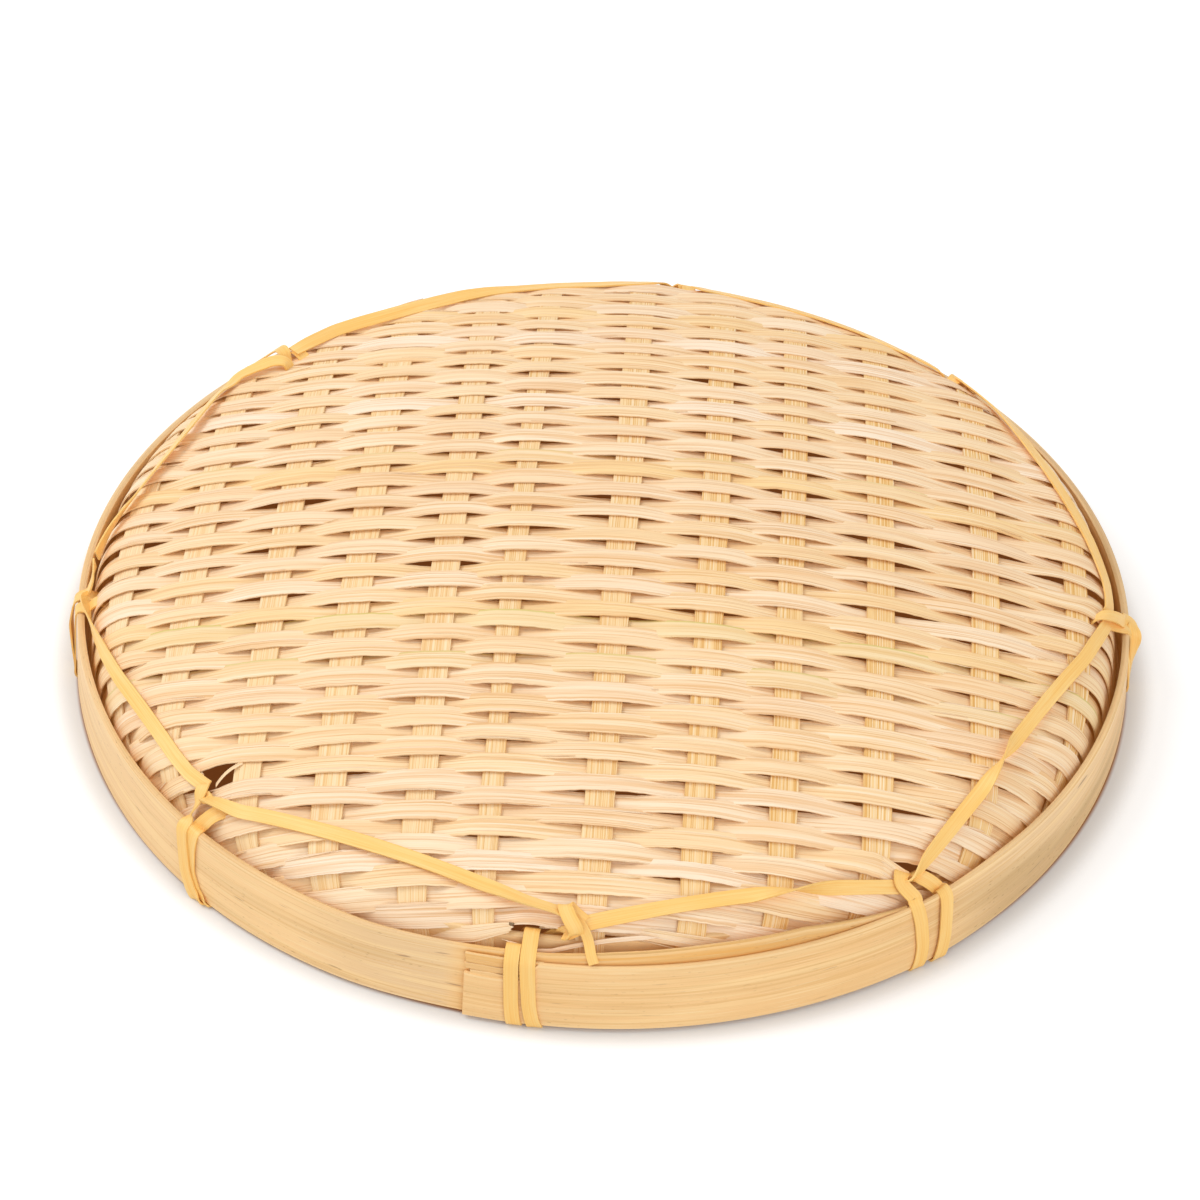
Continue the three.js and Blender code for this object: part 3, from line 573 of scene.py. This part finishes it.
# A sliver stands across the hole at the left front, bowed up: s, t
SLIVER_ROW = 51
SLIVER = np.array([[-97.2, -99.4], [-94.9, -97.4], [-92.9, -95.7], [-90.3, -93.6]])


def weft_place(row):
    return WEFT_SHIFT + (MIDDLE_ROW - row) * WEFT_PITCH


def weft_end(rows, side):
    """Where the wefts of a pair end on one side: on the mat's reach, or short of a stake's edge."""
    far = max(abs(weft_place(row)) for row in rows) + (WEFT_PITCH - WEFT_TO_WEFT_GAP) / 2.0
    end = math.sqrt(MAT_REACH ** 2 - far ** 2)
    outward = sorted((abs(at), width / 2.0) for at, width in STAKES if at * side > 0)
    for at, half in outward[::-1]:
        if -half - WEFT_CUT_SHORT < end - at < WEFT_END_CLEARANCE:
            end = at - half - WEFT_CUT_SHORT
    return end


def weave_lift(s, row):
    """Height of a weft over the mat's middle: flat over or under each stake, eased between."""
    sides = np.where((row + np.arange(len(STAKES))) % 2 == 0, 1.0, -1.0)
    at, half = STAKES[:, 0], STAKES[:, 1] * FLAT_SHARE
    knots = np.stack([at - half, at + half], -1).ravel()
    knots = np.concatenate([[at[0] - WEAVE_EASED_OUT], knots, [at[-1] + WEAVE_EASED_OUT]])
    values = np.concatenate([[0.0], np.repeat(sides, 2), [0.0]])
    after = np.clip(np.searchsorted(knots, s), 1, len(knots) - 1)
    share = ease((s - knots[after - 1]) / (knots[after] - knots[after - 1]), 0.0, 1.0)
    return values[after - 1] * (1.0 - share) + values[after] * share


def parted(s, t):
    """Shift of t away from each parting: its push, eased off with distance from its middle."""
    moved = np.zeros_like(s)
    for at_s, at_t, push, reach in PARTINGS:
        near = np.exp(-((s - at_s) / reach) ** 2 - ((t - at_t) / reach) ** 2)
        moved += push * near * np.tanh((t - at_t) / 1.2)
    return moved


def weft_rings(s, middle, half, lift, roll, section, thickness=STRIP_THICKNESS):
    """Rings of a strip across the mat: each ring is the section, as wide as the strip is there.

    The roll lowers the strip's far edge and raises the near one, and the upper face is bowed.
    """
    across = half[:, None] * section[:, 0]
    t = middle[:, None] + across
    bow = 0.10 * (1.0 - section[:, 0] ** 2)
    height = lift[:, None] - roll[:, None] * across + bow + thickness / 2.0 * section[:, 1]
    return np.broadcast_to(s[:, None], t.shape).copy(), t, height


def pointed(count, wide, taper):
    """Half width of a fibre that narrows to a point at both ends, over a share of its length."""
    return wide * ease(1.0 - np.abs(np.linspace(-1.0, 1.0, count)), 0.0, taper)


def between(place, along, values):
    """Rows of values at places along a line, in straight lines between its known places."""
    return np.stack([np.interp(place, along, column) for column in values.T], -1)


def fibre(strip_line, begin, end, edge, wide, away, rise):
    """Rings of a fibre that lies along a strip, at a share of the strip's half width.

    Towards its end it moves off the strip by a distance and rises by another.
    """
    s, middle, half, lift, roll = strip_line
    part = stations(begin, end, 1.2)
    share = ease(np.linspace(-1.0, 1.0, len(part)), -0.2, 1.3)
    t = np.interp(part, s, middle) + edge * np.interp(part, s, half) + away * share
    over = np.interp(part, s, lift - roll * edge * half) + 0.24 + rise * share
    place, t, height = weft_rings(part, t, pointed(len(part), wide, 0.3) + 0.03, over, 0.0 * part,
                                  sliver_section, 0.12)
    return dome(place, t + parted(place, t), height)


weft_section = flat_section(9, 0.35)
sliver_section = flat_section(3, 0.5)
weft = StripFinish("split_bamboo_weft", Specular_IOR_Level=0.3, **PAINTED_WARM_GLOW)
light, warm, green, seed = weft.tone()
fibres = weft.streaks(1.9, 22.0, seed * 57.0, 3.0, shift=seed * 30.0)
lines = weft.streaks(3.4, 12.0, seed * 91.0, 1.0)
bands = weft.streaks(0.6, 10.0, seed * 33.0, 2.0, 0.4)
blotch = weft.streaks(0.3, 24.0, seed * 71.0)
edge_band = weft.across.step(1.4, 0.1) * weft.across.step(-0.2, 0.0)
weft_material = weft.finish(
    0.52 + fibres * 0.2, fibres * 0.6 + lines * 0.2 + bands * 0.4, 0.00025,
    (249, 218, 180), (warm, (249, 214, 156)), (light, (254, 233, 206)),
    (bands.step(0.5, 0.36) * 0.55, (236, 188, 134)),
    (bands.step(0.54, 0.7) * 0.5, (255, 236, 208)),
    (fibres.step(0.47, 0.32) * 0.65, (222, 168, 108)),
    (fibres.step(0.56, 0.7) * 0.5, (255, 242, 222)),
    (lines.step(0.6, 0.72) * 0.6, (204, 148, 90)),
    (blotch.step(0.55, 0.8) * 0.35, (234, 186, 130)),
    (green * edge_band * 0.85, (196, 184, 92)), (green * 0.35, (240, 214, 140)))

for number, first in enumerate(range(0, WEFT_COUNT, 2), 1):
    rows = range(first, min(first + 2, WEFT_COUNT))
    strips, tones = [], []
    for row in rows:
        low, high = -weft_end(rows, -1), weft_end(rows, 1)
        ends = [low, *BREAKS.get(row, ()), high]
        backness = max(1.0 - row / MIDDLE_ROW, 0.0)
        width = WEFT_PITCH + BAND_OVERLAP + WIDER_AT_BACK * backness + rng.normal() * 0.3
        lean_across = 0.06 - 0.2 * backness + 0.03 * rng.normal()
        tone = [np.clip(0.3 + 0.3 * rng.normal(), 0.0, 1.0), np.clip(0.4 + 0.35 * rng.normal(), 0.0, 1.0),
                GREEN_EDGED.get(row, 0.0), rng.random()]
        sway, phase, _, _ = rng.normal(size=4) * 0.2
        for low_s, high_s in zip(ends[::2], ends[1::2]):
            s = stations(low_s, high_s, WEFT_STEP)
            count = len(s)
            half = width / 2.0 + 0.26 * wander(rng, count, 24) + 0.06 * rng.normal(size=count)
            middle = weft_place(row) + 0.36 * wander(rng, count, 28)
            middle = middle + sway * np.sin(s / 60.0 + phase * 20.0)
            if row == WEFT_COUNT - 1:
                pushed = np.exp(-((s - LAST_AT) / LAST_REACH) ** 2)
                middle, half = middle - LAST_PUSH * pushed, half - LAST_SQUEEZE * pushed
            if row == SPLIT_ROW:
                far, near = between(s, SPLIT_EDGES[:, 0], SPLIT_EDGES[:, 1:]).T
                middle, half = (far + near) / 2.0, (far - near) / 2.0
            roll = lean_across + 0.03 * wander(rng, count, 22)
            lift = WEFT_WAVE * (1.0 - 0.15 * backness) * weave_lift(s, row) + 0.06 * wander(rng, count, 20)
            torn_ends = [(end, sign) for end, whole, sign in ((low_s, low, 1.0), (high_s, high, -1.0))
                         if end != whole]
            for end, sign in torn_ends:
                torn = half * FRAYED.get(row, 0.0) * (1.0 - ease(sign * (s - end), 0.0, FRAYED_OVER))
                middle, half = middle - torn, half - torn
            place, t, height = weft_rings(s, middle, half, lift, roll, weft_section)
            if row != SPLIT_ROW:
                t = t + parted(place, t)
            for end, sign in torn_ends:
                place[0 if sign > 0.0 else -1] += sign * RAGGED * rng.random(len(weft_section))
            strips.append(dome(place, t, height))
            tones.append(tone)
            # Fibres have come away along the strip's edges, and in a bunch at each broken end
            strip_line = (s, middle, half, lift, roll)
            loose_fibres = []
            for _ in range(rng.integers(1, 4)):
                begin = rng.uniform(low_s, max(high_s - 30.0, low_s + 1.0))
                end = min(begin + rng.uniform(10.0, 34.0), high_s)
                edge = rng.choice([-1.0, 1.0]) * rng.uniform(0.45, 1.04)
                loose_fibres.append((begin, end, edge, rng.uniform(0.08, 0.2),
                                     np.sign(edge) * rng.uniform(0.2, 1.0), 0.25))
            for end, sign in torn_ends:
                for edge in np.linspace(-0.8, 0.8, 5 if row in FRAYED else 0):
                    loose_fibres.append((end + sign * 7.0, end - sign * rng.uniform(0.3, 2.6), edge,
                                         rng.uniform(0.25, 0.5), rng.normal() * 0.4,
                                         rng.uniform(0.0, 0.4)))
            for values in loose_fibres:
                strips.append(fibre(strip_line, *values))
                tones.append([rng.uniform(0.0, 0.7), tone[1], 0.0, rng.random()])
    if WEFT_COUNT - 1 in rows:
        part = stations(SPLINTER[0, 0], SPLINTER[-1, 0], 1.0)
        t, over = between(part, SPLINTER[:, 0], SPLINTER[:, 1:]).T
        half = pointed(len(part), 0.5, 0.25) + 0.05
        strips.append(dome(*weft_rings(part, t, half, over, 0.0 * part, sliver_section, 0.2)))
        tones.append([1.0, 0.2, 0.0, 0.4])
    if SLIVER_ROW in rows:
        part = stations(SLIVER[0, 0], SLIVER[-1, 0], 0.8)
        t = np.interp(part, *SLIVER.T)
        half = np.full(len(part), 0.6)
        over = 0.6 + 0.7 * np.sin(np.linspace(0.0, np.pi, len(part)))
        strips.append(dome(*weft_rings(part, t, half, over, 0.0 * part, sliver_section, 0.15)))
        tones.append([0.3, 0.7, 0.0, 0.7])
    add_piece(f"weft_{number:02d}_strips", f"weft_pair_{number:02d}", strips, tones,
              weft_material)


# Lashing. Eight lengths of one thin flat golden strand. Each starts at its tie, goes twice round
# both hoops and out through the mat, lies over the mat to the next tie, and the last one ends in
# a knot at the front tie, where a cut tail is left standing.
STRAND_WIDTH = 3.9
STRAND_THICKNESS = 0.5
STRAND_LIFT = 1.75
STRAND_OFF = 0.5
STRAND_STEP = 0.6
OFF_THE_FLOOR = 0.02
LAP_PROUD = proud - HOOP_FOOT_RADIUS


def unit(vectors):
    """Each vector divided by its length."""
    return vectors / np.linalg.norm(vectors, axis=-1, keepdims=True)


def rim_point(angle, off, z):
    """Point at an angle of the weave, off the outer hoop's face by a distance, at a height."""
    azimuth = angle + WEAVE_TURN
    radius = leaning(HOOP_FOOT_RADIUS, z) + off - foot_tuck(azimuth) * max(1.0 - z / HOOP_TOP, 0.0)
    turn = math.radians(azimuth)
    return np.array([radius * math.cos(turn), radius * math.sin(turn), z])


def rim_top(angle):
    """Height of the hoop's top at an angle of the weave, and how far its face lies in there."""
    turned = (angle + WEAVE_TURN - LAP_END) % 360.0 + 360.0
    share = ease(turned, 360.0 - LAP_BLEND, 360.0) - ease(turned, *LAP_RISE_AT[-2:])
    return HOOP_TOP + np.interp(turned, LAP_RISE_AT, LAP_RISE), (LAP_LAYER + LAP_GAP) * share


def along_rim(angle):
    """Direction along the rim at an angle of the weave."""
    azimuth = np.radians(angle + WEAVE_TURN)
    return np.array([-math.sin(azimuth), math.cos(azimuth), 0.0])


def mat_axes(s, t):
    """Directions on the mat at a place: across, to the back, and outwards."""
    across = unit(dome(s + 0.5, t, 0.0) - dome(s - 0.5, t, 0.0))
    outwards = unit(dome(s, t, 1.0) - dome(s, t, 0.0))
    return across, np.cross(outwards, across), outwards


def over_mat(*knots):
    """Path over the mat through knots (s, t, lift, tilt), a point for each millimetre.

    A knot without a lift lies flat, and one without a tilt isn't turned. The strand's width is
    square to the path and to the mat's normal, then turned about the path by the tilt in
    degrees; a tilted strand is lifted by its half width times the sine.
    """
    knots = np.array([knot + (STRAND_LIFT, 0.0)[len(knot) - 2:] for knot in knots])
    along = lengths_along(knots[:, :2])
    s, t, lift, tilt = between(stations(0.0, along[-1], 1.0), along, knots).T
    tilt = np.radians(tilt)
    points = dome(s, t, lift + np.abs(np.sin(tilt)) * STRAND_WIDTH / 2.0)
    normal = unit(dome(s, t, 1.0) - dome(s, t, 0.0))
    right = unit(np.cross(np.gradient(points, axis=0), normal))
    return points, np.cos(tilt)[:, None] * right + np.sin(tilt)[:, None] * normal


def loose(*knots):
    """Path through knots: s, t, lift, then the width's shares across, to the back and outwards.

    Shares that are left out at the end of a knot are 0.
    """
    points, wides = [], []
    for s, t, lift, *shares in knots:
        points.append(dome(s, t, lift))
        wides.append(unit(sum(share * axis for share, axis in zip(shares, mat_axes(s, t)))))
    return np.array(points), np.array(wides)


def round_rim(edge, foot, hole, stand=0.55, rise=0.0, bow=0.0, face=()):
    """One turn: over the hoops' top at the edge angle, down the outer face and under the foot at
    the foot angle, up inside and out of a hole.

    Down the face the angle goes from edge to foot, slowly first, plus a bow at mid height; other
    places on the face may be given as (angle, off, z, how far the width is turned outwards).
    """
    off = STRAND_OFF + rise
    inside = INNER_HOOP_RADIUS - HOOP_THICKNESS - HOOP_FOOT_RADIUS - STRAND_OFF - 0.4
    top, recess = rim_top(edge)
    swing = foot - edge
    down = face or (
        (edge, off - 0.1, HOOP_TOP - 0.3), (edge + 0.1 * swing + 0.6 * bow, off, HOOP_TOP - 5.0),
        (edge + 0.3 * swing + bow, off, 7.5), (edge + 0.65 * swing + 0.6 * bow, off, 2.6))
    way = [rim_point(edge, -1.2 - recess, top + stand), rim_point(edge, stand * 0.6 - recess, top + 0.1)]
    way += [rim_point(*place[:3]) for place in down]
    way += [rim_point(foot, *place) for place in (
        (off - 0.1, 0.75), (off - 0.6, 0.28), (inside + 0.8, 0.28), (inside, 1.2),
        (inside, FOOT_HEIGHT + INNER_HOOP_WIDTH))]
    wides = [along_rim(edge)] * 2 + [along_rim(foot)] * (len(way) - 2)
    for number, place in enumerate(face, 2):
        outward = np.cross(along_rim(place[0]), [0.0, 0.0, 1.0])
        wides[number] = unit((1.0 - place[3]) * along_rim(place[0]) + place[3] * outward)
    way += [dome(*hole, -2.4), dome(*hole, 0.2)]
    return np.array(way), np.array(wides + [along_rim(foot)] * 2)


def strand_strip(parts, seed, soften=1.1, width=STRAND_WIDTH):
    """Rings of a strand along joined paths.

    The joined line is cut into equal steps, then points and widths are averaged with a bell
    curve along it, so that corners become round bends; the width is set square to the line.
    """
    points = np.concatenate([part[0] for part in parts])
    wides = np.concatenate([part[1] for part in parts])
    apart = np.concatenate([[True], np.linalg.norm(np.diff(points, axis=0), axis=1) > 0.05])
    points, wides = points[apart], wides[apart]
    flips = np.where((wides[1:] * wides[:-1]).sum(axis=1) < 0.0, -1.0, 1.0)
    wides = wides * np.concatenate([[1.0], np.cumprod(flips)])[:, None]
    along = lengths_along(points)
    place = stations(0.0, along[-1], STRAND_STEP)
    points, wides = between(place, along, points), between(place, along, wides)
    reach = int(3.0 * soften / STRAND_STEP)
    bell = np.exp(-0.5 * (np.arange(-reach, reach + 1) * STRAND_STEP / soften) ** 2)
    bell = bell / bell.sum()

    def averaged(before, rows, after):
        padded = np.concatenate([before, rows, after])
        return np.stack([np.convolve(column, bell, mode="valid") for column in padded.T], -1)

    # Past its ends the line goes on as its own mirror image, and the width stays as it is
    points = averaged(2.0 * points[0] - points[reach:0:-1], points,
                      2.0 * points[-1] - points[-2:-reach - 2:-1])
    wides = averaged(np.repeat(wides[:1], reach, axis=0), wides, np.repeat(wides[-1:], reach, axis=0))
    heading = unit(np.gradient(points, axis=0))
    wides = unit(wides - (wides * heading).sum(axis=1, keepdims=True) * heading)
    thick = np.cross(heading, wides)
    rng = np.random.default_rng(seed)
    half = width / 2.0 * (1.0 + 0.03 * wander(rng, len(points), 30))
    rings = (points[:, None] + wides[:, None] * (half[:, None] * strand_section[:, 0])[..., None]
             + thick[:, None] * (STRAND_THICKNESS / 2.0 * strand_section[:, 1])[:, None])
    rings[..., 2] = np.maximum(rings[..., 2], OFF_THE_FLOOR)
    return rings


strand_section = flat_section(5, 0.4)
strand = StripFinish("golden_strand", Specular_IOR_Level=0.45)
grain = strand.streaks(4.0, 25.0, 2.0)
shade = strand.streaks(0.4, 40.0, 7.0)
strand_material = strand.finish(
    0.36 + grain * 0.14, grain, 0.0001, (250, 192, 98), (grain.step(0.3, 0.7), (255, 210, 126)),
    (shade.step(0.4, 0.7) * 0.4, (255, 222, 152)))

flat = STRAND_LIFT
spans = [
    [(np.array([rim_point(264.1, -4.0, 20.5), rim_point(264.1, -3.6, 23.0)]),
      np.array([along_rim(264.1)] * 2)),
     round_rim(264.1, 264.65, (-10.6, -143.2), rise=LAP_PROUD),
     over_mat((-10.7, -143.6, 1.5), (-10.9, -145.6, 1.9)),
     round_rim(265.7, 266.7, (-2.9, -143.6), rise=LAP_PROUD),
     over_mat((-2.5, -144.1, 1.4), (0.2, -142.9, 1.9), (2.6, -141.4, 2.0), (4.6, -140.8),
              (12.4, -138.8), (21.1, -136.4), (44.0, -130.2, flat, 5.0), (56.0, -126.8, flat, 88.0),
              (66.0, -124.0, flat, 165.0), (83.5, -119.3, flat, 180.0))],
    [loose((84.6, -115.2, 0.2, 1.0), (83.2, -115.8, 1.9, 1.0), (82.3, -117.2, 2.9, 1.0, 0.1),
           (83.3, -118.7, 2.9, 0.8, 0.7), (85.8, -119.7, 3.2, 0.5, 1.0), (88.4, -120.6, 4.0, 0.4, 1.0)),
     round_rim(305.84, 305.6, (88.0, -114.6), stand=1.3, rise=LAP_PROUD, bow=0.65),
     loose((88.4, -115.2, 1.6, 0.5, 1.0), (90.4, -115.2, 2.3, 0.3, 1.0), (93.0, -115.6, 2.5, 0.3, 1.0),
           (96.1, -116.3, 2.6, 0.3, 1.0)),
     round_rim(309.4, 308.2, (85.6, -116.8), stand=1.0, rise=LAP_PROUD + 0.3, bow=0.1),
     over_mat((85.4, -117.4, 1.4, -70.0), (87.1, -114.3, 1.9, -45.0), (89.4, -110.5, flat, -20.0),
              (92.7, -105.4, flat, -5.0), (103.5, -87.5, flat, 8.0), (108.8, -77.0, flat, 88.0),
              (113.0, -69.0, flat, 160.0), (133.4, -31.4, flat, 180.0), (139.9, -16.5, flat, 180.0),
              (141.8, -11.8, flat, 180.0))],
    [over_mat((141.4, -11.6, 0.9), (145.2, -9.2, 1.7)),
     round_rim(357.6, 357.3, (137.8, -12.2)),
     loose((137.9, -12.2, 1.2, 0.5, 1.0), (139.1, -11.7, 2.8, 0.3, 1.0), (141.3, -10.2, 3.4, 0.0, 1.0),
           (144.0, -8.6, 3.8, -0.1, 1.0, 0.1), (147.5, -6.1, 4.0, -0.2, 1.0, 0.2)),
     round_rim(359.0, 356.9, (142.6, -7.4), stand=1.3,
               face=((358.3, 0.9, 20.2, 0.3), (357.7, 1.8, 17.8, 1.0), (357.4, 1.1, 14.0, 0.55),
                     (357.1, 0.7, 9.5, 0.25), (356.9, 0.5, 2.6, 0.0))),
     over_mat((143.0, -6.4, 1.6, -2.0), (143.4, -0.6), (142.6, 6.5, flat, 2.0),
              (137.8, 22.0, flat, 5.0), (126.6, 51.7, flat, 2.0), (118.2, 70.6, flat, -4.0),
              (112.0, 84.0, flat, -8.0), (102.2, 98.6, flat, -8.0))],
    [over_mat((100.4, 97.0, 0.2), (101.6, 98.4, 2.4)),
     round_rim(44.0, 44.5, (100.6, 98.0)),
     over_mat((101.4, 99.6, 2.6), (102.0, 100.6, 2.6)),
     round_rim(45.8, 46.3, (98.0, 101.4)),
     over_mat((96.8, 101.8, 1.4), (91.6, 104.6, 1.5), (84.6, 109.0, 1.2), (72.0, 117.2, 1.2),
              (59.6, 122.4, 1.2), (47.2, 127.0, 1.2), (34.7, 130.8, 1.2), (24.0, 134.2, 1.3),
              (20.6, 137.4, 1.6))],
    [over_mat((18.6, 139.0, 0.2), (18.2, 141.6, 2.4)),
     round_rim(82.6, 83.1, (17.6, 141.3)),
     over_mat((17.0, 142.2, 2.6), (16.4, 143.2, 2.6)),
     round_rim(84.7, 85.2, (12.4, 141.6)),
     over_mat((10.8, 139.4, 1.8), (4.0, 136.0, 1.3), (-9.0, 132.6, 1.2), (-21.5, 130.6, 1.2),
              (-35.2, 127.0, 1.2, 5.0), (-43.0, 124.0, 1.2, 20.0), (-50.6, 119.6, 1.2, 36.0),
              (-58.0, 114.8, 1.2, 46.0), (-65.6, 110.4, 1.2, 48.0), (-73.0, 106.2, 1.2, 48.0),
              (-80.8, 102.4, 1.2, 46.0), (-87.6, 98.0, 1.4, 44.0), (-94.5, 90.4, 1.8, 40.0),
              (-98.6, 85.4, 2.4, 20.0))],
    [over_mat((-95.2, 84.4, 0.2), (-97.8, 86.8, 3.0)),
     round_rim(139.4, 139.8, (-100.8, 82.8)),
     loose((-101.0, 84.2, 3.6, 0.6, 0.8), (-102.4, 87.0, 4.2, 0.6, 0.8, 0.1)),
     round_rim(141.2, 141.7, (-99.6, 80.4), stand=1.6),
     over_mat((-100.2, 80.2, 2.0, 20.0), (-104.0, 80.4, 2.4, 30.0), (-114.0, 75.6, 2.0, 15.0),
              (-118.8, 65.8, flat, -20.0), (-127.0, 39.8, flat, -28.0), (-135.3, 15.9, flat, -32.0),
              (-141.0, 3.0, flat, -42.0), (-143.6, -6.0, flat, -50.0))],
    [over_mat((-143.8, -8.6, 2.0, -45.0), (-144.2, -13.5, 2.4, -20.0), (-145.0, -16.4, 2.7),
              (-147.4, -17.4, 2.7)),
     round_rim(186.5, 189.3, (-142.8, -22.4), stand=0.8, rise=0.1,
               face=((186.6, 1.0, 19.5, 0.1), (187.2, 1.8, 13.5, 0.15), (188.4, 1.1, 7.0, 0.05),
                     (189.1, 0.5, 2.6, 0.0))),
     over_mat((-143.8, -22.9, 1.5), (-146.4, -23.4, 1.9)),
     round_rim(188.4, 190.2, (-146.2, -18.2), stand=0.7),
     over_mat((-147.0, -19.2, 1.2, -75.0), (-144.3, -26.3, 1.9, -62.0), (-141.3, -35.0, flat, -35.0),
              (-135.8, -46.6, flat, -10.0), (-129.7, -57.5, flat, -2.0), (-109.5, -88.2),
              (-104.9, -94.4), (-100.4, -98.6), (-98.9, -99.8))],
    [loose((-99.9, -99.1, 2.3, 1.0, -0.1), (-99.9, -100.2, 3.0, 1.0, -0.2),
           (-101.0, -102.0, 2.9, 0.9, -0.5, 0.2), (-102.6, -103.6, 2.6, 0.6, -0.4, 0.7),
           (-104.8, -105.2, 2.6, 0.4, -0.2, 0.9)),
     round_rim(225.4, 228.6, (-94.6, -106.6), stand=0.9, rise=0.6),
     loose((-95.2, -107.0, 1.3, 0.3, 1.0), (-97.3, -107.3, 2.2, 0.0, 1.0),
           (-99.8, -108.1, 2.4, -0.2, 1.0, 0.2), (-103.6, -108.8, 2.2, -0.3, 0.9, 0.6)),
     round_rim(226.9, 229.3, (-99.4, -102.0), stand=0.6, bow=-0.8),
     over_mat((-99.2, -102.6, 1.3, 70.0), (-95.0, -105.0, 1.8, 45.0), (-89.2, -108.5, flat, 12.0),
              (-83.5, -110.5, flat, 2.0), (-72.3, -114.7), (-45.6, -124.4),
              (-24.0, -132.8, flat, 10.0), (-12.8, -136.7, flat, 40.0), (-4.5, -138.7, 1.8, 50.0),
              (-1.6, -139.3, 1.7, 30.0))],
]
strand_tone = np.zeros(4)
STRAND_SEED = 69
for number, parts in enumerate(spans, 1):
    add_piece(f"strand_span_{number}", f"lashing_span_{number}",
              [strand_strip(parts, STRAND_SEED + number)], [strand_tone], strand_material)

# The knot: the strand from the last hole loops up over the end of the last run, whose narrow
# tail comes out beside it, hangs over the rim and is cut off at the outer layer's edge
loop_parts = [
    loose((-2.4, -143.9, 1.5, 1.0, 0.2), (-0.6, -144.2, 2.2, 1.0, 0.3),
          (0.9, -143.6, 3.4, 1.0, 0.3), (0.6, -142.6, 4.2, 1.0, 0.2),
          (-0.9, -140.8, 4.6, 1.0, 0.1), (-2.2, -138.8, 4.4, 1.0, 0.05), (-2.6, -137.6, 3.6, 1.0),
          (-2.0, -137.6, 2.6, 1.0), (-0.2, -139.2, 2.4, 1.0, 0.1), (2.6, -141.0, 2.3, 0.7, 0.7))]
tail_parts = [
    loose((-1.4, -139.4, 2.0, 0.8, 0.7), (0.7, -140.6, 2.9, 0.9, 0.5),
          (2.4, -142.4, 3.0, 1.0, 0.3), (3.6, -144.4, 2.5, 1.0, 0.2)),
    (np.array([rim_point(271.7, -2.2, rim_top(271.7)[0] + 0.7),
               rim_point(271.8, -1.0, rim_top(271.7)[0] - 0.1),
               rim_point(272.15, -0.1, HOOP_TOP + 0.6)]),
     np.array([along_rim(272.0)] * 3))]
TAIL_WIDTH = 2.7
KNOT_SOFTNESS = 0.6
knot_strips = [strand_strip(loop_parts, 79, KNOT_SOFTNESS),
               strand_strip(tail_parts, 80, KNOT_SOFTNESS, TAIL_WIDTH)]
add_piece("strand_knot", "lashing_knot", knot_strips, [strand_tone] * 2, strand_material)


# Floor and light. A plain white floor with painted shade under the tray and round its foot, and soft
# light from all round, a little stronger from the upper left.
FLOOR_HALF = 3.0
WHITE_TO_THE_EYE = 0.34
TRAY_MIDDLE = Vector((0.0, 0.0, 0.02))
floor_mesh = bpy.data.meshes.new("floor")
floor_mesh.from_pydata([(x * FLOOR_HALF, y * FLOOR_HALF, 0.0)
                        for x, y in ((-1, -1), (1, -1), (1, 1), (-1, 1))], [], [(0, 1, 2, 3)])
floor = add_object("floor", floor_mesh)


def seen_directly(tree):
    """1 for rays that the camera sees directly, or in gloss or through glass, and 0 for light."""
    ray = add_node(tree, "ShaderNodeLightPath", "Is Camera Ray", {})
    return ray.larger(ray.beside("Is Glossy Ray")).larger(ray.beside("Is Transmission Ray"))


white = Finish("white_floor", Roughness=1.0, Specular_IOR_Level=0.0, Emission_Strength=1.0)
place = add_node(white.tree, "ShaderNodeTexCoord", "Object", {})
reach = add_node(white.tree, "ShaderNodeVectorMath", "Value", {0: place}, operation="LENGTH")
# The white glow is off under the tray and fades in from the hoop's foot to 8 mm outside it, which paints a
# little shade on the floor round the foot
glow = seen_directly(white.tree) * reach.step(0.1495, 0.158) * WHITE_TO_THE_EYE
# Painted shade and glow: under the tray the floor is painted brown and glows a dim brown, standing in for
# the shade there and for the light that the bamboo has made brown; it is seen only through gaps
open_floor = reach.step(0.1478, 0.1492)
white.feed("Base Color", white.mix(open_floor, paint(150, 104, 62), paint(231, 231, 231)))
glow_colour = white.mix(glow, paint(0, 0, 0), paint(255, 255, 255))
white.feed("Emission Color", white.mix(open_floor, paint(84, 50, 22), glow_colour))
floor_mesh.materials.append(white.material)

world = bpy.data.worlds.new("white_room")
bpy.context.scene.world = world
world.use_nodes = True
background = world.node_tree.nodes["Background"]
background.inputs["Color"].default_value = (1.0, 1.0, 1.0, 1.0)
WORLD_LEVEL = 0.66
plug(world.node_tree, background.inputs["Strength"],
     WORLD_LEVEL + seen_directly(world.node_tree) * (1.0 - WORLD_LEVEL))


def soft_lamp(name, place, size, power):
    """A square area lamp at a place in metres, aimed at the tray."""
    lamp = bpy.data.lights.new(name, "AREA")
    lamp.size, lamp.energy = size, power
    turn = (TRAY_MIDDLE - Vector(place)).to_track_quat("-Z", "Y")
    add_object(name, lamp).matrix_world = Matrix.LocRotScale(place, turn, None)


soft_lamp("window_left", (-1.3, 0.3, 1.5), 1.0, 16.0)
soft_lamp("fill_front", (0.9, -1.6, 1.0), 1.4, 12.0)
bpy.context.scene.view_settings.view_transform = "Standard"
